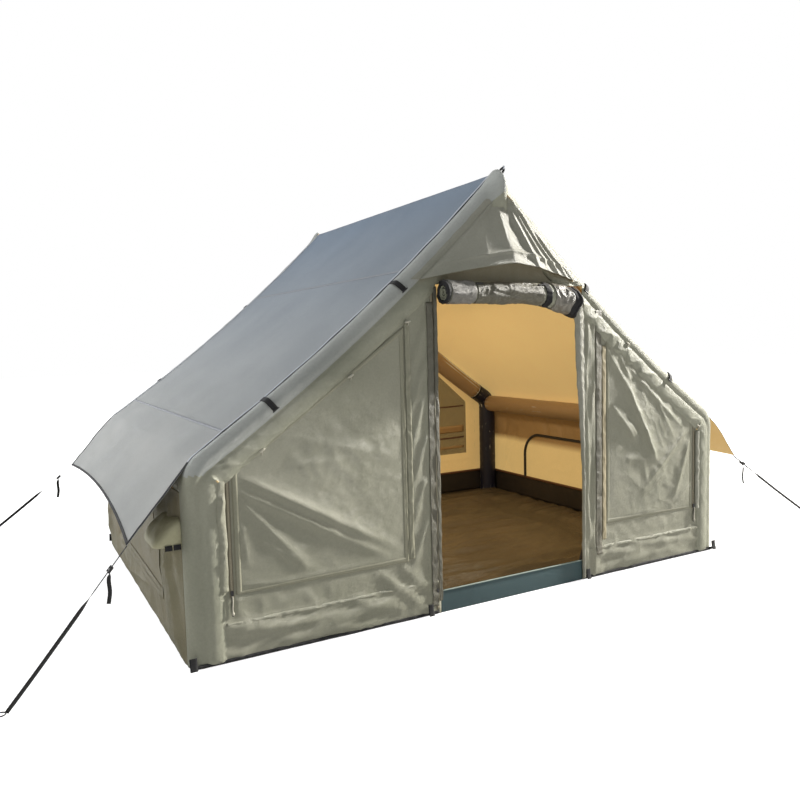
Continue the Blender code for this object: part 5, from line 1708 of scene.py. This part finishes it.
for name, x_low, x_high, z, width, finish, seed in (
    ("skirt_fold_left", -1.355, -0.375, 0.152, 0.016, khaki, 361.0),
    ("skirt_fold_right", 0.515, 1.355, 0.150, 0.016, khaki, 365.0),
    ("foot_piping_left", -1.490, -0.375, 0.009, 0.014, binding_black, 371.0),
    ("foot_piping_right", 0.515, 1.490, 0.009, 0.014, binding_black, 375.0),
):
    strip = level_strip(x_low, x_high, z, width, seed)
    add_strip(name, strip, 140, finish, 1.0, front, trim_cloth, 8)

window_toggles = (
    (-0.786, 1.112, 0.5),
    (-1.184, 0.835, 0.5),
    (0.814, 1.205, -0.6),
    (1.356, 0.730, -0.5),
    (-0.505, 1.335, 0.2),
)
for index, (x, z, lean) in enumerate(window_toggles):
    spot = Vector((x, -(half_depth + front_relief(x, z) + 0.010), z))
    across = Vector((cos(lean), 0, sin(lean)))
    rod = [spot + across * 0.016 * (2 * t - 1) for t in shares(8)]
    add_tube(f"window_toggle_{index + 1}", rod, barrel, cord_cream, 12)
    neck = ring_points(spot + Vector((0, 0.005, -0.008)), Vector(rear), Vector(up), 0.009, 18)
    add_tube(f"window_loop_{index + 1}", neck, 0.0016, cord_cream, 8)

for name, x, y, width in (
    ("peg_loop_front_left", -1.492, -1.103, 0.030),
    ("peg_loop_front_right", 1.492, -1.103, 0.030),
    ("peg_loop_door_left", -0.420, -1.106, 0.026),
    ("peg_loop_door_right", 0.530, -1.106, 0.026),
    ("peg_loop_rear_left", -1.492, 1.103, 0.030),
    ("peg_loop_rear_right", 1.492, 1.103, 0.030),
):
    side = -1 if y < 0 else 1

    def loop_point(u, v, x=x, y=y, side=side, width=width):
        return Vector((x + width * (v - 0.5), y + side * (0.0035 + 0.012 * u * u), 0.052 - 0.050 * u))

    add_strip(name, loop_point, 16, webbing_black, 0.05, (0, side, 0), 0.0016)

peak = Vector((0.014, -1.104, 2.002))
peak_loop = []
for t in shares(40):
    angle = pi * (1.15 - 1.3 * t)
    lean = 0.012 * sin(angle)
    peak_loop.append(peak + Vector((0.010 * cos(angle) + lean, 0, 0.018 + 0.017 * sin(angle))))
add_tube("peak_loop", peak_loop, 0.0055, webbing_black)
tip = [peak_loop[20] + Vector((0.0012, 0, 0.0018)) * (step - 3) for step in range(8)]
add_tube("peak_loop_tip", tip, 0.0068, tape_grey, 12)

# Ends of the rolled door

for name, u, radius in (("roll_binding_left", 0.0, 0.0075), ("roll_binding_right", 1.0, 0.0090)):
    ring = [roll_point(u, roll_foot * (0.62 + 0.38 * t)) for t in shares(150)]
    add_tube(name, ring, radius, binding_black)
for name, first_u, last_u, seed, finish in (
    ("roll_lining_left", 0.022, 0.192, 387.0, pale_lining_in_shade),
    ("roll_lining_right", 0.800, 0.950, 381.0, coated_lining_in_shade),
):

    def lining_point(u, v, first_u=first_u, last_u=last_u, seed=seed):
        spot = roll_point(first_u + (last_u - first_u) * u, 0.66 + 0.262 * v)
        rough = 0.0055 * crumple(u * 0.08, v * 0.3, 0.028, seed, 1.0, 0.7)
        return off_roll(spot, 0.0042 + rough * sin(pi * u) ** 0.4, 0.02)

    add_strip(name, lining_point, 40, finish, 0.15, front, 0.0012, 60, lining_point(0.5, 0.5))


def ribbed_point(u, v):
    spot = roll_point(0.715 + 0.05 * u, 0.70 + 0.21 * v)
    return off_roll(spot, 0.0048 + 0.0022 * abs(sin(v * 40)))


add_strip("roll_ribs", ribbed_point, 8, webbing_black, 0.05, front, 0.0010, 90, ribbed_point(0.5, 0.5))

# Rear window nets and the finish of the pieces kept from the model

net_bars = (
    (0.705, 0.012, tape_brown),
    (0.520, 0.055, net_bar),
    (0.450, 0.014, tape_brown),
    (0.372, 0.020, net_bar),
)


def net_surface(hand):
    inside = four_sided(window_outlines[hand])

    def place(u, v):
        x, z = inside(u, v)
        return Vector((x, half_depth - wall_cloth + 0.0006, z))

    return place


for hand, _ in hands:
    rear_net, area = add_cloth(
        f"rear_net_{hand}", net_surface(hand), (24, 24), (0.7, 0.9), rear, None, [net], (), 0.0,
    )
for hand, sign in hands:
    for index, (z, width, finish) in enumerate(net_bars):

        def bar_point(u, v, z=z, width=width, sign=sign):
            sag = 0.004 * sin(pi * u)
            return Vector((sign * (0.74 + 0.50 * u), half_depth - 0.0085, z + width * (v - 0.5) - sag))

        name = f"rear_net_bar_{hand}_{index + 1}"
        add_strip(name, bar_point, 20, finish, 0.5, front, 0.0008)


def dress(name, finish):
    for place in nodes[name].material_slots:
        place.material = finish


for hand, _ in hands:
    dress(f"front_window_net_{hand}", net)
    dress(f"zip_slider_{hand}", plastic_black)
    dress(f"door_toggle_{hand}", plastic_black)
    for end, _ in ends:
        dress(f"guy_lock_{end}_{hand}", plastic_black)
for name in ("door_zip_slider", "valve_base", "valve_plunger", "valve_cap"):
    dress(name, plastic_valve)
for name in ("front_arch", "rear_arch", "left_eave", "right_eave", "ridge"):
    dress(f"{name}_bladder", film)

# Lights, world and floor


def add_light(name, place, target, size, power, colour=(1, 1, 1)):
    data = bpy.data.lights.new(name, "AREA")
    data.shape = "RECTANGLE"
    data.size, data.size_y = size
    data.energy = power
    data.color = colour
    lamp = bpy.data.objects.new(name, data)
    lamp.visible_camera = False
    lamp.location = place
    lamp.rotation_euler = (Vector(target) - Vector(place)).to_track_quat("-Z", "Y").to_euler()
    bpy.context.scene.collection.objects.link(lamp)


add_light("key light", (12.9, -2.45, 7.05), (0, -0.9, 0.9), (0.9, 0.9), 6100, (1.0, 0.965, 0.91))
add_light("top light", (-2.5, 1.0, 6.5), (0, 0, 0), (5, 5), 170)
add_light("sheen light", (-4.5, 8.5, 3.2), (-0.8, 0, 1.0), (5.0, 3.0), 330, (0.97, 0.98, 1.0))
add_light("front light", (-3.0, -7.0, 3.0), (0, 0, 0.8), (3, 3), 45, (0.93, 0.96, 1.0))
add_light("left light", (-7.0, 0.5, 2.6), (0, 0, 0.6), (3, 3), 130, (1.0, 0.98, 0.94))
add_light("tent light", (0.0, 0.1, 1.45), (0, 0, 0), (0.5, 1.2), 14, (1.0, 0.86, 0.62))

world = bpy.data.worlds.new("studio")
world.use_nodes = True
sky = world.node_tree
fill = sky.nodes["Background"]
feed(sky, fill, {"Color": (0.93, 0.96, 1.0, 1.0), "Strength": 0.27})
backdrop = add_node(sky, "Background", {"Color": (1, 1, 1, 1), "Strength": 1.0})
sight = add_node(sky, "LightPath", {}).outputs["Is Camera Ray"]
choose = add_node(sky, "MixShader", {0: sight, 1: fill.outputs[0], 2: backdrop.outputs[0]})
feed(sky, sky.nodes["World Output"], {"Surface": choose.outputs[0]})
bpy.context.scene.world = world
bpy.context.scene.view_settings.view_transform = "Standard"

floor_mesh = bmesh.new()
bmesh.ops.create_grid(floor_mesh, x_segments=1, y_segments=1, size=30)
floor_data = bpy.data.meshes.new("studio_floor")
floor_mesh.to_mesh(floor_data)
floor_mesh.free()
floor_stage = bpy.data.objects.new("studio_floor", floor_data)
floor_stage.location = (0, 0, -0.002)
floor_material, floor_tree, floor_shader = start_material("studio floor")
sight = add_node(floor_tree, "LightPath", {}).outputs["Is Camera Ray"]
reach = add_node(floor_tree, "VectorMath", {0: point_place(floor_tree)}, operation="LENGTH")
bright = spread(floor_tree, reach.outputs["Value"], 2.2, 6.0, 0.80, 1.0)
glow = math_node(floor_tree, "MULTIPLY", sight, bright)
feed(floor_tree, floor_shader, {"Base Color": (0.55, 0.55, 0.55, 1), "Roughness": 0.9})
feed(floor_tree, floor_shader, {"Emission Color": (1, 1, 1, 1), "Emission Strength": glow})
floor_data.materials.append(floor_material)
bpy.context.scene.collection.objects.link(floor_stage)
